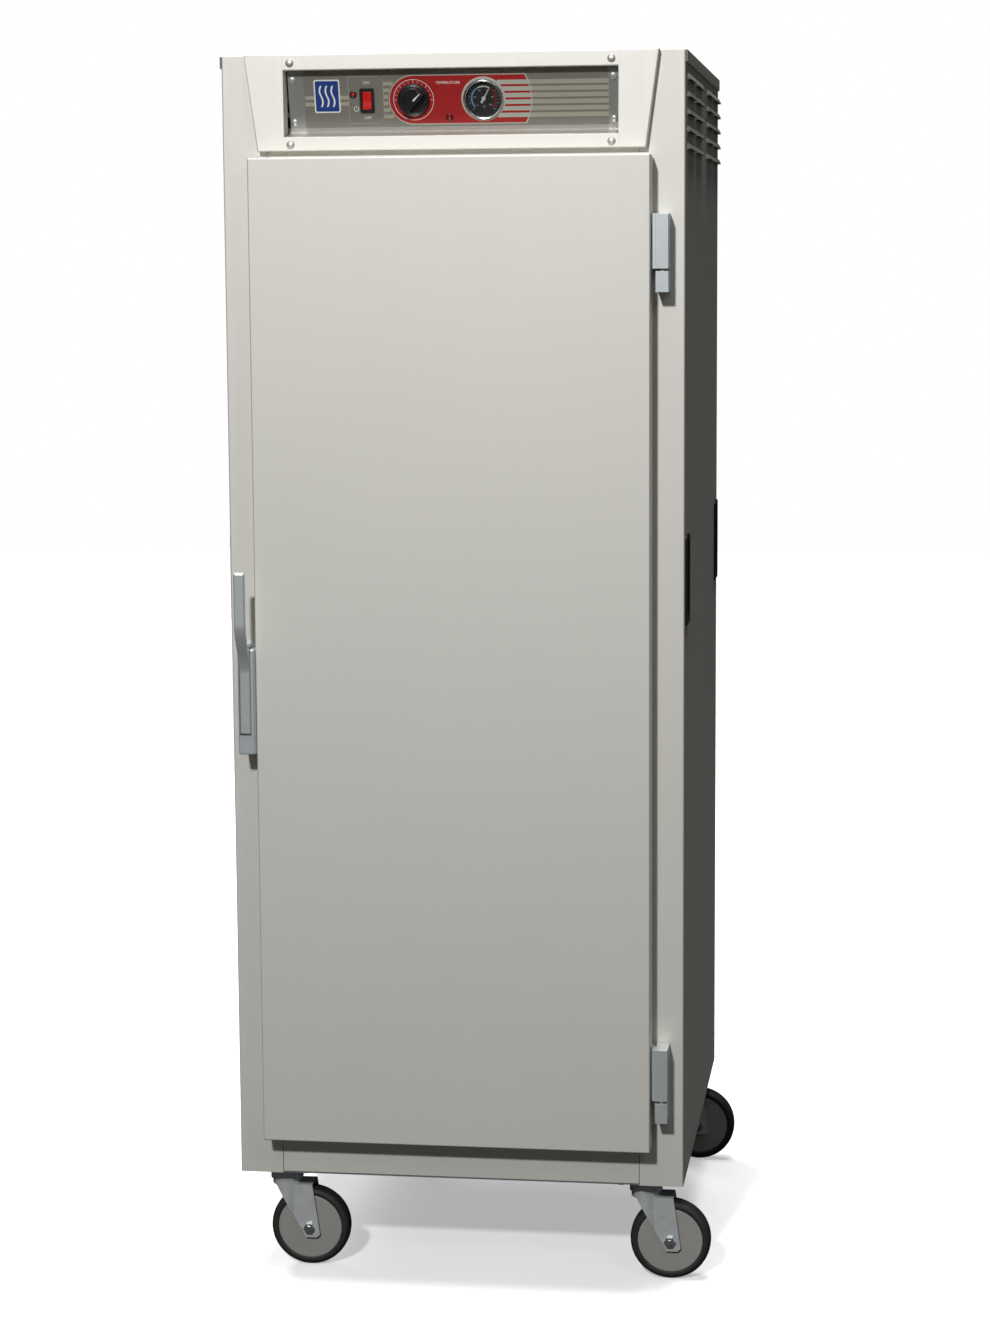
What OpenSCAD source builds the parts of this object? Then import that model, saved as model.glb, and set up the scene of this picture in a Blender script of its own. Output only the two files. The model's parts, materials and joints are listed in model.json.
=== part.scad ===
// Upright heated holding and proofing cabinet on swivel casters, with one hinged door.
// Millimetres. +X is the hinge side, +Y is the back and +Z is up. The floor is z = 0, and the
// origin lies under the middle of the whole cabinet, latch lever and louvres included.
// Inside each module y = 0 is the face of the front stiles. in_frame() moves it into the part's frame.

/* [Cabinet] */
// Width over the side panels
body_w = 702; // [680:1:720]
// Depth from the stile face to the back edge of the sides
body_d = 755; // [740:1:790]
// Height of the body without its casters
body_h = 1738; // [1738:1:1790]
// Thickness of the outer sheet metal
sheet_t = 1.5; // [1:0.1:2]
// Width of each front stile, which is the folded front edge of a side panel
stile_w = 68; // [66:1:70]

/* [Door] */
// Width of the door
door_w = 606; // [600:1:610]
// How far the door stands in front of the stiles
door_t = 50; // [48:1:52]
// Gap from the bottom of the body to the door
door_low = 67; // [65:1:70]
// Gap from the door to the top of the body
door_high = 154; // [152:1:158]

/* [Control fascia] */
// Height of the fascia
fascia_h = 143.5; // [142:0.5:146]
// How far the fascia stands in front of the stiles
fascia_t = 17; // [14:1:18]
// Width of the window in the fascia
window_w = 505; // [500:1:508]
// Height of the window in the fascia
window_h = 99; // [97:1:101]
// Lean of the recessed panel, with its foot further in than its head
panel_tilt = 14.5; // [12:0.5:16]

/* [Casters] */
// Height of a caster, from the floor to the bottom of the body
caster_h = 164; // [162:1:168]
// Wheel diameter
wheel_d = 127; // [120:1:127]
// Width of the tread
tread_w = 32; // [30:1:34]
// Trail, from the swivel axis to the axle
trail = 39; // [34:1:42]

/* [Pan slides] */
// Number of pairs of wire slides
slide_pairs = 17; // [4:1:17]
// Rise from one pair to the next
slide_pitch = 76.2; // [76.2:0.1:80]

/* [Hidden] */
$fn = 64;

eps = 0.01;
fit = 0.05;                            // radial clearance of a shaft that turns in a hole
half_w = body_w / 2;
z_base = caster_h;
z_top = caster_h + body_h;
door_z0 = z_base + door_low;
door_z1 = z_top - door_high;
open_half = half_w - stile_w;          // half the width of the door opening
back_flange = 26;                      // inward folds of a side panel, at its back and its foot
foot_flange = 12;
sill_z = z_base + 88;                  // bottom of the door opening
header_z = z_top - 172;                // top of the door opening
lever_reach = 92;                      // front of the latch lever
front_y = -(body_d + sheet_t - lever_reach) / 2;
louvre_out = 6;                        // how far a louvre stands out of its side
caster_x = half_w - 62.5;              // swivel axes, from the middle of the body
middle_x = -(caster_x + trail + wheel_d / 2 - half_w - louvre_out) / 2;

wall_t = 60;                           // back wall, from the liner to the outside
liner_t = 1.2;
liner_half = open_half + 3;            // inner face of each side liner
liner_y0 = 4;
liner_y1 = body_d - wall_t;
deck_z = header_z + 30;                // floor of the heat module, on top of the insulation

// hand grips, two in each side
grip_z0 = z_base + 877;
grip_h = 137;
grip_w = 64;
grip_ys = [13, body_d - 13 - grip_w];
grip_depth = 34;
grip_lip = 3;

// louvres, in each side beside the heat module
louvre_len = 138;
louvre_ys = [38, 204, 464, body_d - 143];
louvre_rows = 5;
louvre_pitch = 25.6;
louvre_top = z_top - 35;
louvre_wall = 1.2;

// hinges: heights of the lower end of each frame block, and the pin's axis
hinge_x = 320;
hinge_y = -36;
hinge_w = 19;
hinge_front = -46;
hinge_block_h = 31;
hinge_gap = 3.5;
hinge_knuckle_h = 81;
hinge_zs = [z_base + 114, z_base + 1381.5];
pin_r = 4;

// latch, on the free edge of the door
latch_x0 = -329;
latch_x1 = -303;
latch_z0 = z_base + 680;
latch_h = 163;
latch_front = -60;
lever_x0 = -326.2;
lever_w = 17;
lever_z0 = latch_z0 + 31.5;
lever_z1 = z_base + 964;
lever_pin = [-38, latch_z0 + 111];     // y and z of the lever's pivot
lever_pin_r = 3;

// fascia window, then the control panel's frame: its middle, and the places on it of what it carries
window_z = z_top - 73;
panel_y = 13;
panel_z = z_top - 68;
panel_w = 500;
panel_h = 84;
panel_t = 2;
knob_x = -59;
gauge_x = 47;
switch_x = -130;
rocker_y = 3;                          // depth of the rocker's pivot behind the panel face
lamps = [[-151, 9], [-5.6, -27]];      // x, and height up the panel
rivet_x = 242.5;
panel_screw_x = 243;
panel_screw_z = 32;

// blower, over the ceiling of the cavity
blower_y = 330;
blower_r = 75;
shaft_r = 4;
tray_y0 = 200;
tray_y1 = 690;
plenum_h = 64;
heater_zs = [20, 44];                  // heights of the heater's two runs over the deck
heater_r = 4;

// casters
caster_ys = [56, body_d - 63];
axle_z = wheel_d / 2;
axle_r = 6;
fork_gap = 38;
fork_t = 3;
raceway_r = 27;
kingpin_r = 6;
plate_half = [47, 34];                 // half the size of a caster's top plate
bolt_r = 4;
CASTERS = [["front_left", -1, 0], ["front_right", 1, 0], ["rear_left", -1, 1], ["rear_right", 1, 1]];

module in_frame() translate([middle_x, front_y, 0]) children();
module both_sides() { children(); mirror([1, 0, 0]) children(); }
module box(lo, hi) translate(lo) cube(hi - lo);
module rod(a, b, r) {
    d = b - a;
    translate(a) rotate([0, acos(d.z / norm(d)), atan2(d.y, d.x)]) cylinder(r = r, h = norm(d));
}
module on_panel() translate([0, panel_y, panel_z]) rotate([panel_tilt, 0, 0]) children();
// a round piece on the panel, r at the panel from height h0 to h1 in front of it
module boss(x, z, r, h0, h1) translate([x, -h0, z]) rotate([90, 0, 0]) cylinder(r = r, h = h1 - h0);
module at_caster(i) translate([CASTERS[i][1] * caster_x, caster_ys[CASTERS[i][2]], 0]) children();

// ---- outer shell -----------------------------------------------------------------------------

// section of a louvre; the inner one, inset by the wall, runs on past the lip
module louvre_profile(inset) {
    lip = inset > 0 ? -8 : -7;
    polygon([[-sheet_t / 2, 3 - inset], [2, 2 - inset], [4.5 - inset, -0.5 - inset], [louvre_out - inset, -4],
        [louvre_out - inset, lip], [-sheet_t / 2, lip]]);
}

module louvre(inset) rotate([90, 0, 0]) translate([0, 0, -louvre_len + inset])
    linear_extrude(louvre_len - 2 * inset) louvre_profile(inset);

module louvre_grid(inset) for (y = louvre_ys, row = [0:louvre_rows - 1])
    translate([half_w, y, louvre_top - row * louvre_pitch]) louvre(inset);

module side_panel() difference() {
    union() {
        box([half_w - sheet_t, 0, z_base], [half_w, body_d, z_top - sheet_t]);
        box([open_half, 0, z_base], [half_w, sheet_t, z_top - sheet_t]);
        box([half_w - back_flange, body_d - sheet_t, z_base], [half_w, body_d, z_top - sheet_t]);
        box([half_w - foot_flange, 0, z_base], [half_w, body_d, z_base + sheet_t]);
        louvre_grid(0);
    }
    louvre_grid(louvre_wall);
    for (y = louvre_ys, row = [0:louvre_rows - 1])
        translate([half_w, y + louvre_wall, louvre_top - row * louvre_pitch])
            box([-2 * sheet_t, 0, -7], [1, louvre_len - 2 * louvre_wall, 1]);
    for (y = grip_ys)
        box([half_w - 5, y + grip_lip, grip_z0 + grip_lip],
            [half_w + 5, y + grip_w - grip_lip, grip_z0 + grip_h - grip_lip]);
}
module side_panel_right() color("gainsboro") in_frame() side_panel();
module side_panel_left() color("gainsboro") in_frame() mirror([1, 0, 0]) side_panel();

inlet_x = 200;
inlet_z = z_top - 70;
inlet_w = 62;
inlet_h = 52;

module back_panel() color("silver") in_frame() difference() {
    box([-half_w + sheet_t + 0.5, body_d - 2 * sheet_t, z_base + sheet_t],
        [half_w - sheet_t - 0.5, body_d - sheet_t, z_top - sheet_t]);
    box([inlet_x - inlet_w / 2, body_d - 10, inlet_z - inlet_h / 2],
        [inlet_x + inlet_w / 2, body_d + 1, inlet_z + inlet_h / 2]);
}

// a lid with a lip that hangs down at the back and, a little off the side panels, at both sides
cover_lip = 19;
cover_gap = 1.2;
cover_half = half_w + cover_gap + sheet_t;
module top_cover() color("whitesmoke") in_frame() {
    lip_z = z_top - cover_lip;
    back_y = body_d + sheet_t;
    box([-cover_half, 0, z_top - sheet_t], [cover_half, back_y, z_top]);
    box([-cover_half, body_d, lip_z], [cover_half, back_y, z_top]);
    both_sides() box([half_w + cover_gap, 1, lip_z], [cover_half, back_y, z_top]);
}

caster_bolt_dx = 37;
caster_bolt_dy = 24;
plate_t = 3.5;
chassis_t = 2.5;

module bolt_places() for (i = [0:3]) at_caster(i)
    for (dx = [-caster_bolt_dx, caster_bolt_dx], dy = [-caster_bolt_dy, caster_bolt_dy])
        translate([dx, dy, 0]) children();

// a floor plate with four upright webs, two along each side over the casters
module base_chassis() color("silver") in_frame() difference() {
    edge_x = half_w - foot_flange - 1;
    web_y0 = 32;
    back_y = body_d - 4;
    web_top = z_base + 28;
    union() {
        box([-edge_x, 2, z_base], [edge_x, back_y, z_base + chassis_t]);
        both_sides() box([edge_x - chassis_t, web_y0, z_base], [edge_x, back_y, web_top]);
        both_sides() box([caster_x - 60, web_y0, z_base + eps], [caster_x - 60 + chassis_t, back_y, web_top]);
    }
    bolt_places() translate([0, 0, z_base - 1]) cylinder(r = bolt_r + 0.3, h = 10);
}

// the sill and the header fill the front between the stiles, below and above the door opening
seam = 0.7;
cross_half = open_half - seam;
module front_sill() color("gainsboro") in_frame() {
    foot = z_base + chassis_t + 0.2;
    box([-cross_half, 0, foot], [cross_half, sheet_t, sill_z]);
    box([-cross_half, 0, sill_z - sheet_t], [cross_half, liner_y0, sill_z]);
    box([-cross_half, 0, foot], [cross_half, 20, foot + sheet_t]);
}

module front_header() color("gainsboro") in_frame() difference() {
    hole = [window_w / 2 + 3, window_h / 2 + 3];
    union() {
        box([-cross_half, 0, header_z], [cross_half, sheet_t, z_top - sheet_t]);
        box([-cross_half, 0, header_z], [cross_half, liner_y0, header_z + sheet_t]);
    }
    box([-hole.x, -1, window_z - hole.y], [hole.x, 5, window_z + hole.y]);
}

fascia_foot = 294;                     // half-widths of the fascia, which widens upwards
fascia_head = 313;
module fascia_outline(inset) polygon([
    [-fascia_foot + inset, z_top - fascia_h + inset], [fascia_foot - inset, z_top - fascia_h + inset],
    [fascia_head - inset, z_top - inset], [-fascia_head + inset, z_top - inset]]);
module window_outline(grow) translate([0, window_z])
    square([window_w + 2 * grow, window_h + 2 * grow], center = true);
sleeve = 12;                           // how far the window's lining reaches behind the stile face

module fascia_frame() color("gainsboro") in_frame() {
    rotate([90, 0, 0]) {
        translate([0, 0, fascia_t - sheet_t]) linear_extrude(sheet_t) difference() {
            fascia_outline(0);
            window_outline(0);
        }
        linear_extrude(fascia_t) difference() {
            fascia_outline(0);
            fascia_outline(sheet_t);
        }
        translate([0, 0, -sleeve]) linear_extrude(fascia_t + sleeve) difference() {
            window_outline(liner_t);
            window_outline(0);
        }
    }
}

// dome-headed fasteners: four rivets on the fascia and four screws on the panel
module dome(r, h) intersection() {
    translate([0, 0, h - (r * r + h * h) / (2 * h)]) sphere(r = (r * r + h * h) / (2 * h));
    cylinder(r = r, h = h);
}
module fascia_rivets_screws() color("lightgray") {
    in_frame() for (x = [-rivet_x, rivet_x], z = [z_top - 13, z_top - 134])
        translate([x, -fascia_t, z]) rotate([90, 0, 0]) dome(6.25, 3.2);
    in_frame() on_panel() for (x = [-panel_screw_x, panel_screw_x], z = [-panel_screw_z, panel_screw_z])
        translate([x, 0, z]) rotate([90, 0, 0]) dome(5.5, 3);
}

// ---- cavity ----------------------------------------------------------------------------------

module inner_liner() color("gainsboro") in_frame() difference() {
    box([-liner_half - liner_t, liner_y0, sill_z - liner_t],
        [liner_half + liner_t, liner_y1 + liner_t, header_z + liner_t]);
    box([-liner_half, liner_y0 - 1, sill_z], [liner_half, liner_y1, header_z]);
    for (i = [-5:5])
        box([i * 11 - 3, blower_y - 50, header_z - 1], [i * 11 + 3, blower_y + 50, header_z + 5]);
    box([-120, liner_y1 - 26, header_z - 1], [120, liner_y1 - 6, header_z + 5]);
}

module cabinet_insulation() color("khaki") in_frame() {
    both_sides() difference() {
        box([liner_half + liner_t, sheet_t + 0.5, z_base + 30],
            [half_w - sheet_t, body_d - 2 * sheet_t, deck_z - sheet_t]);
        for (y = grip_ys) box([half_w - grip_depth - 3, y - 2, grip_z0 - 2],
            [half_w + 5, y + grip_w + 2, grip_z0 + grip_h + 2]);
    }
    box([-liner_half, liner_y1 + liner_t, sill_z], [liner_half, body_d - 2 * sheet_t, deck_z - sheet_t]);
    box([-liner_half, 30, z_base + 30], [liner_half, liner_y1, sill_z - liner_t]);
    difference() {
        box([-liner_half, liner_y0 + 1, header_z + liner_t], [liner_half, liner_y1, deck_z - sheet_t]);
        translate([0, blower_y, header_z]) cylinder(r = 62, h = 60);
        box([-122, liner_y1 - 50, header_z], [122, liner_y1 - 4, deck_z]);
    }
}

upright_ys = [70, 610];
upright_x = liner_half - 46;
rack_z0 = sill_z + 30;

// four channel posts, open towards the liner
upright_w = 25;
module slide_uprights() color("silver") in_frame() both_sides() for (y = upright_ys)
    difference() {
        box([upright_x, y, sill_z + eps], [liner_half, y + upright_w, header_z - 20]);
        box([upright_x + sheet_t, y + sheet_t, sill_z - 1],
            [liner_half + 1, y + upright_w - sheet_t, header_z]);
    }

// one bent wire slide: a flat frame of two rails and four cross wires, which carries a pan's rim
module wire_slide() {
    r = 3;
    x0 = upright_x - 27;
    x1 = upright_x - r;
    y0 = 12;
    y1 = 650;
    for (x = [x0, x1]) rod([x, y0, 0], [x, y1, 0], r);
    for (y = [y0, upright_ys[0] + upright_w / 2, upright_ys[1] + upright_w / 2, y1])
        rod([x0, y, 0], [x1, y, 0], r);
    for (x = [x0, x1], y = [y0, y1]) translate([x, y, 0]) sphere(r = r);
}
module wire_slides() color("silver") in_frame() both_sides() for (i = [0:slide_pairs - 1])
    translate([0, 0, rack_z0 + i * slide_pitch]) wire_slide();

module rear_air_duct() color("silver") in_frame() difference() {
    box([-130, liner_y1 - 32, sill_z + 40], [130, liner_y1, header_z - eps]);
    box([-128.8, liner_y1 - 30.8, sill_z + 41.2], [128.8, liner_y1 + 1, header_z + 1]);
    for (i = [0:11])
        translate([-90, liner_y1 - 35, sill_z + 100 + i * 112]) cube([180, 15, 12]);
}

// ---- heat module, between the ceiling of the cavity and the top cover ---------------------------

module heat_module_tray() color("lightgray") in_frame() difference() {
    union() {
        box([-half_w + 60, 40, deck_z - sheet_t], [half_w - 60, body_d - 20, deck_z]);
        difference() {
            box([-150, tray_y0, deck_z], [150, tray_y1, deck_z + plenum_h]);
            box([-148.5, tray_y0 + 1.5, deck_z - 1], [148.5, tray_y1 - 1.5, deck_z + plenum_h - 1.5]);
        }
    }
    translate([0, blower_y, deck_z - 5]) cylinder(r = 60, h = 10);
    translate([0, blower_y, deck_z + plenum_h - 5]) cylinder(r = 9, h = 10);
    box([-118, tray_y1 - 45, deck_z - 5], [118, tray_y1 - 8, deck_z + 1]);
    translate([-59, tray_y0 - 5, deck_z + 40]) rotate([-90, 0, 0]) cylinder(r = 3.5, h = 12);
    both_sides() for (z = heater_zs)
        translate([100, tray_y1 - 5, deck_z + z]) rotate([-90, 0, 0]) cylinder(r = heater_r + 0.2, h = 10);
}

module blower_motor() color("dimgray") in_frame() translate([0, blower_y, 0]) {
    translate([0, 0, deck_z + plenum_h]) cylinder(r = 42, h = 50);
    translate([0, 0, deck_z + plenum_h]) cylinder(r = 56, h = 3);
    translate([0, 0, deck_z + 22]) cylinder(r = shaft_r, h = plenum_h);
}

// a backward-curved wheel: a disc and an inlet ring with blades between them, and a hub on the motor's shaft
blade_h = 34;
blade_angle = 35;
module blower_blade() rotate([0, 0, blade_angle]) translate([0, -1, 0]) cube([14, 2, blade_h]);
module blower_wheel() color("lightsteelblue") in_frame() translate([0, blower_y, deck_z + 12]) difference() {
    union() {
        translate([0, 0, blade_h]) cylinder(r = blower_r, h = 2);
        difference() {
            cylinder(r = blower_r, h = 2);
            translate([0, 0, -1]) cylinder(r = 52, h = 5);
        }
        for (a = [0:15:345]) rotate([0, 0, a]) translate([60, 0, 1]) blower_blade();
        translate([0, 0, 20]) cylinder(r = 9, h = 15);
    }
    translate([0, 0, 8]) cylinder(r = shaft_r + fit, h = 40);
}

module heater_bend(bend) rotate_extrude(angle = 180) translate([bend, 0]) circle(r = heater_r);
module heater_element() color("sienna") in_frame() translate([0, 0, deck_z]) {
    near = 470;
    far = 560;
    bend = 25;
    for (z = heater_zs) {
        both_sides() rod([4 * bend, near, z], [4 * bend, tray_y1 + 14, z], heater_r);
        both_sides() translate([3 * bend, near, z]) rotate([0, 0, 180]) heater_bend(bend);
        both_sides() rod([2 * bend, near, z], [2 * bend, far, z], heater_r);
        both_sides() translate([bend, far, z]) heater_bend(bend);
        rod([0, near, z], [0, far, z], heater_r);
        translate([0, near, z]) sphere(r = heater_r);
    }
}

// the thermostat's body and stem, and its capillary tube that ends in a bulb inside the plenum
stem_r = 3;
bulb_z = deck_z + 40;
module thermostat() color("dimgray") in_frame() {
    capillary_y = panel_y + 25;
    on_panel() translate([knob_x, 0, 0]) {
        box([-22, panel_t, -22], [22, panel_t + 34, 22]);
        rotate([90, 0, 0]) translate([0, 0, -panel_t - eps]) cylinder(r = stem_r, h = panel_t + 12);
    }
    rod([knob_x, capillary_y, bulb_z], [knob_x, capillary_y, panel_z], 1.5);
    translate([knob_x, capillary_y, bulb_z]) sphere(r = 1.5);
    rod([knob_x, capillary_y, bulb_z], [knob_x, tray_y0 + 30, bulb_z], 1.5);
    rod([knob_x, tray_y0 + 8, bulb_z], [knob_x, tray_y0 + 48, bulb_z], 3);
}

// a strip with eight open cells for the wires
module terminal_block() color("dimgray") in_frame() difference() {
    box([150, 90, deck_z], [250, 112, deck_z + 24]);
    for (i = [0:7]) box([154 + i * 12, 89, deck_z + 12], [163 + i * 12, 113, deck_z + 25]);
}

// a recessed appliance inlet in the back: a flanged box with three contact pins
module power_inlet() color("dimgray") in_frame() {
    difference() {
        union() {
            box([inlet_x - inlet_w / 2, body_d - 48, inlet_z - inlet_h / 2],
                [inlet_x + inlet_w / 2, body_d - sheet_t, inlet_z + inlet_h / 2]);
            box([inlet_x - inlet_w / 2 - 8, body_d - sheet_t, inlet_z - inlet_h / 2 - 8],
                [inlet_x + inlet_w / 2 + 8, body_d, inlet_z + inlet_h / 2 + 8]);
        }
        box([inlet_x - inlet_w / 2 + 3, body_d - 45, inlet_z - inlet_h / 2 + 3],
            [inlet_x + inlet_w / 2 - 3, body_d + 1, inlet_z + inlet_h / 2 - 3]);
    }
    for (dx = [-7, 7])
        box([inlet_x + dx - 1, body_d - 46, inlet_z + 1], [inlet_x + dx + 1, body_d - 24, inlet_z + 9]);
    translate([inlet_x, body_d - 46, inlet_z - 8]) rotate([-90, 0, 0]) cylinder(r = 2.4, h = 24);
}

// ---- control panel ---------------------------------------------------------------------------

module control_panel() color("darkgray") in_frame() {
    on_panel() difference() {
        box([-panel_w / 2, 0, -panel_h / 2], [panel_w / 2, panel_t, panel_h / 2 + 3]);
        translate([knob_x, 5, 0]) rotate([90, 0, 0]) cylinder(r = 4, h = 10);
        translate([gauge_x, 5, 0]) rotate([90, 0, 0]) cylinder(r = 27, h = 10);
        for (p = lamps) translate([p.x, 5, p.y]) rotate([90, 0, 0]) cylinder(r = 4, h = 10);
        box([switch_x - 9.5, -5, -16.5], [switch_x + 9.5, 5, 16.5]);
    }
    ledge_back = panel_y + sin(panel_tilt) * panel_h / 2;
    ledge_z = panel_z - cos(panel_tilt) * panel_h / 2;
    ledge_foot = window_z - window_h / 2 + 0.2;
    translate([-panel_w / 2, 0, 0]) rotate([90, 0, 90]) linear_extrude(panel_w)
        polygon([[-12, ledge_foot], [ledge_back + sheet_t, ledge_foot],
            [ledge_back + sheet_t, ledge_z + 1], [ledge_back, ledge_z + 1]]);
}

// a pointer knob on the thermostat's stem: a skirt, a hub and a grip bar across it
knob_angle = 45;
module temperature_knob() color("black") in_frame() on_panel() translate([knob_x, 0, 0]) difference() {
    union() {
        rotate([90, 0, 0]) translate([0, 0, 0.6]) cylinder(r = 24.5, h = 5);
        rotate([90, 0, 0]) translate([0, 0, 5]) cylinder(r = 20, h = 4);
        rotate([0, knob_angle, 0]) box([-6, -21, -20.5], [6, -4, 20.5]);
    }
    rotate([90, 0, 0]) cylinder(r = stem_r + fit, h = 12.4);
}

// the thermometer is built about its own axis, with z = 0 at the face of the panel
module at_gauge() in_frame() on_panel() translate([gauge_x, 0, 0]) rotate([90, 0, 0]) children();
gauge_r = 26;
needle_r = 1;
module gauge_case() color("silver") at_gauge() difference() {
    union() {
        translate([0, 0, -28]) cylinder(r = gauge_r + 0.8, h = 29);
        rotate_extrude() polygon([[gauge_r, 0], [30.5, 0], [30.5, 3], [28.5, 6], [26.8, 6], [gauge_r, 4]]);
    }
    translate([0, 0, -24]) cylinder(r = gauge_r, h = 40);
}
module gauge_dial() color("black") at_gauge() difference() {
    translate([0, 0, -4]) cylinder(r = gauge_r - 0.1, h = 1.5);
    translate([0, 0, -5]) cylinder(r = needle_r + fit, h = 5);
}
module gauge_needle() color("white") at_gauge() {
    translate([0, 0, -3.5]) cylinder(r = needle_r, h = 3);
    translate([0, 0, -1.5]) cylinder(r = 3.2, h = 1);
    rotate([0, 0, -30]) translate([0, 0, -1.5]) linear_extrude(1)
        polygon([[-1.6, -8], [1.6, -8], [0.5, 19], [-0.5, 19]]);
}
module gauge_lens() color("lightcyan", 0.4) at_gauge()
    translate([0, 0, 2.2]) cylinder(r = gauge_r - 0.1, h = 1.6);

module indicator_lamps() color("red") in_frame() on_panel() for (p = lamps) {
    boss(p.x, p.y, 5.5, 0, 1.6);
    boss(p.x, p.y, 3.9, -14, 1);
    translate([p.x, -1.6, p.y]) rotate([90, 0, 0]) dome(3.6, 1.8);
}

module rocker_bezel() color("black") in_frame() on_panel() difference() {
    union() {
        box([switch_x - 11, -2.5, -18.5], [switch_x + 11, 0, 18.5]);
        box([switch_x - 9.4, -1, -16.4], [switch_x + 9.4, 22, 16.4]);
    }
    box([switch_x - 7.5, -5, -14.5], [switch_x + 7.5, 16, 14.5]);
    translate([switch_x - 8.7, rocker_y, 0]) rotate([0, 90, 0]) cylinder(r = 1.5 + fit, h = 17.4);
}
// the rocker turns on two stub trunnions, and rests switched on, with its upper half pushed in
module rocker() color("red") in_frame() on_panel() translate([switch_x, rocker_y, 0]) rotate([0, 90, 0]) {
    translate([0, 0, -7]) linear_extrude(14)
        polygon([[-13, -4.4], [0, -4.2], [13, -7], [11, 2.5], [0, 7], [-11, 3]]);
    translate([0, 0, -8.5]) cylinder(r = 1.5, h = 17);
}

// ---- hinges, grips and latch -------------------------------------------------------------------

module hinge_blocks() color("lightslategray") in_frame() for (z = hinge_zs) difference() {
    box([hinge_x - hinge_w / 2, hinge_front, z], [hinge_x + hinge_w / 2, 0, z + hinge_block_h]);
    translate([hinge_x, hinge_y, z + 4]) cylinder(r = pin_r, h = hinge_block_h);
}
module hinge_pins() color("silver") in_frame() for (z = hinge_zs)
    translate([hinge_x, hinge_y, z + 4]) cylinder(r = pin_r, h = hinge_block_h + hinge_gap + 56);

// each leaf is a knuckle with a shoulder, and a web that ends in a plate on the side of the door
knuckle_x0 = hinge_x - hinge_w / 2;
module hinge_leaves() color("lightslategray") in_frame() for (z = hinge_zs) {
    z0 = z + hinge_block_h + hinge_gap;
    difference() {
        union() {
            box([knuckle_x0, hinge_front, z0], [knuckle_x0 + hinge_w, -3, z0 + hinge_knuckle_h]);
            box([knuckle_x0 - 4.8, -43.5, z0], [knuckle_x0 + eps, -22, z0 + hinge_knuckle_h]);
            box([door_w / 2, -26, z0], [knuckle_x0 + eps, -22, z0 + hinge_knuckle_h]);
            box([door_w / 2, -26, z0], [door_w / 2 + 3, -9, z0 + hinge_knuckle_h]);
        }
        translate([hinge_x, hinge_y, z0 - 1]) cylinder(r = pin_r + fit, h = 62);
    }
}

// a moulded cup let into the side, whose hollow narrows inwards at its top and bottom
module hand_grip() difference() {
    floor_x = -grip_depth + 3;
    mouth_x = grip_lip + 1;
    union() {
        box([0, 0, 0], [grip_lip, grip_w, grip_h]);
        box([-grip_depth, 4, 4], [0.5, grip_w - 4, grip_h - 4]);
    }
    rotate([90, 0, 0]) translate([0, 0, -grip_w + 7]) linear_extrude(grip_w - 14)
        polygon([[floor_x, 24], [mouth_x, 6], [mouth_x, grip_h - 6], [floor_x, grip_h - 24]]);
}
module hand_grips() color("black") in_frame() both_sides() for (y = grip_ys)
    translate([half_w, y, grip_z0]) hand_grip();

module latch_strike() color("silver") in_frame()
    box([latch_x0 - 5, -7, latch_z0 + 36], [-309, 0, latch_z0 + 166]);

module latch_body() color("lightslategray") in_frame() difference() {
    box([latch_x0, latch_front, latch_z0], [latch_x1, -8, latch_z0 + latch_h]);
    slot_x1 = lever_x0 + lever_w + 0.5;
    box([lever_x0 - 0.5, latch_front - 1, lever_z0 - 1.7], [slot_x1, -12, latch_z0 + latch_h + 1]);
    box([lever_x0 - 0.5, latch_front + 3, lever_z0 - 8], [slot_x1, -12, lever_z0]);
    translate([latch_x0 - 1, lever_pin.x, lever_pin.y]) rotate([0, 90, 0]) cylinder(r = lever_pin_r, h = 30);
}
module latch_pin() color("silver") in_frame() translate([latch_x0, lever_pin.x, lever_pin.y])
    rotate([0, 90, 0]) cylinder(r = lever_pin_r, h = latch_x1 - latch_x0);

// middle line of the lever: flush in the body, then swept out to a grip that stands off the door
lever_bend0 = latch_z0 + 126;
lever_bend = 78;
lever_t = 9;
lug_r = 8;                             // lug behind the lever, round its pivot
lever_seat = latch_front + lever_t / 2 - 1;
lever_sweep = -lever_reach - latch_front + 1;
function ease(u) = u <= 0 ? 0 : u >= 1 ? 1 : u * u * (3 - 2 * u);
function lever_line(z) = lever_seat + lever_sweep * ease((z - lever_bend0) / lever_bend);
bend_steps = 12;
bend_zs = [for (i = [0:bend_steps]) lever_bend0 + i * lever_bend / bend_steps];
lever_zs = concat(lever_z0, bend_zs, lever_z1);
lever_last = len(lever_zs) - 1;
module latch_lever() color("lightslategray") in_frame() translate([lever_x0, 0, 0]) rotate([90, 0, 90])
    linear_extrude(lever_w) difference() {
        union() {
            polygon([for (z = lever_zs) [lever_line(z) + lever_t / 2, z],
                for (i = [lever_last:-1:0]) [lever_line(lever_zs[i]) - lever_t / 2, lever_zs[i]]]);
            translate(lever_pin) circle(r = lug_r);
            translate([lever_seat, lever_pin.y - lug_r]) square([lever_pin.x - lever_seat, 2 * lug_r]);
        }
        translate(lever_pin) circle(r = lever_pin_r + fit);
    }

// ---- door --------------------------------------------------------------------------------------

door_back = -8;
skin_t = 1.2;
door_return = 26;                      // the skin folds this far round onto the back of the door
gasket_w = 13;
module door_slab(inset, y0, y1)
    box([-door_w / 2 + inset, y0, door_z0 + inset], [door_w / 2 - inset, y1, door_z1 - inset]);

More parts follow.
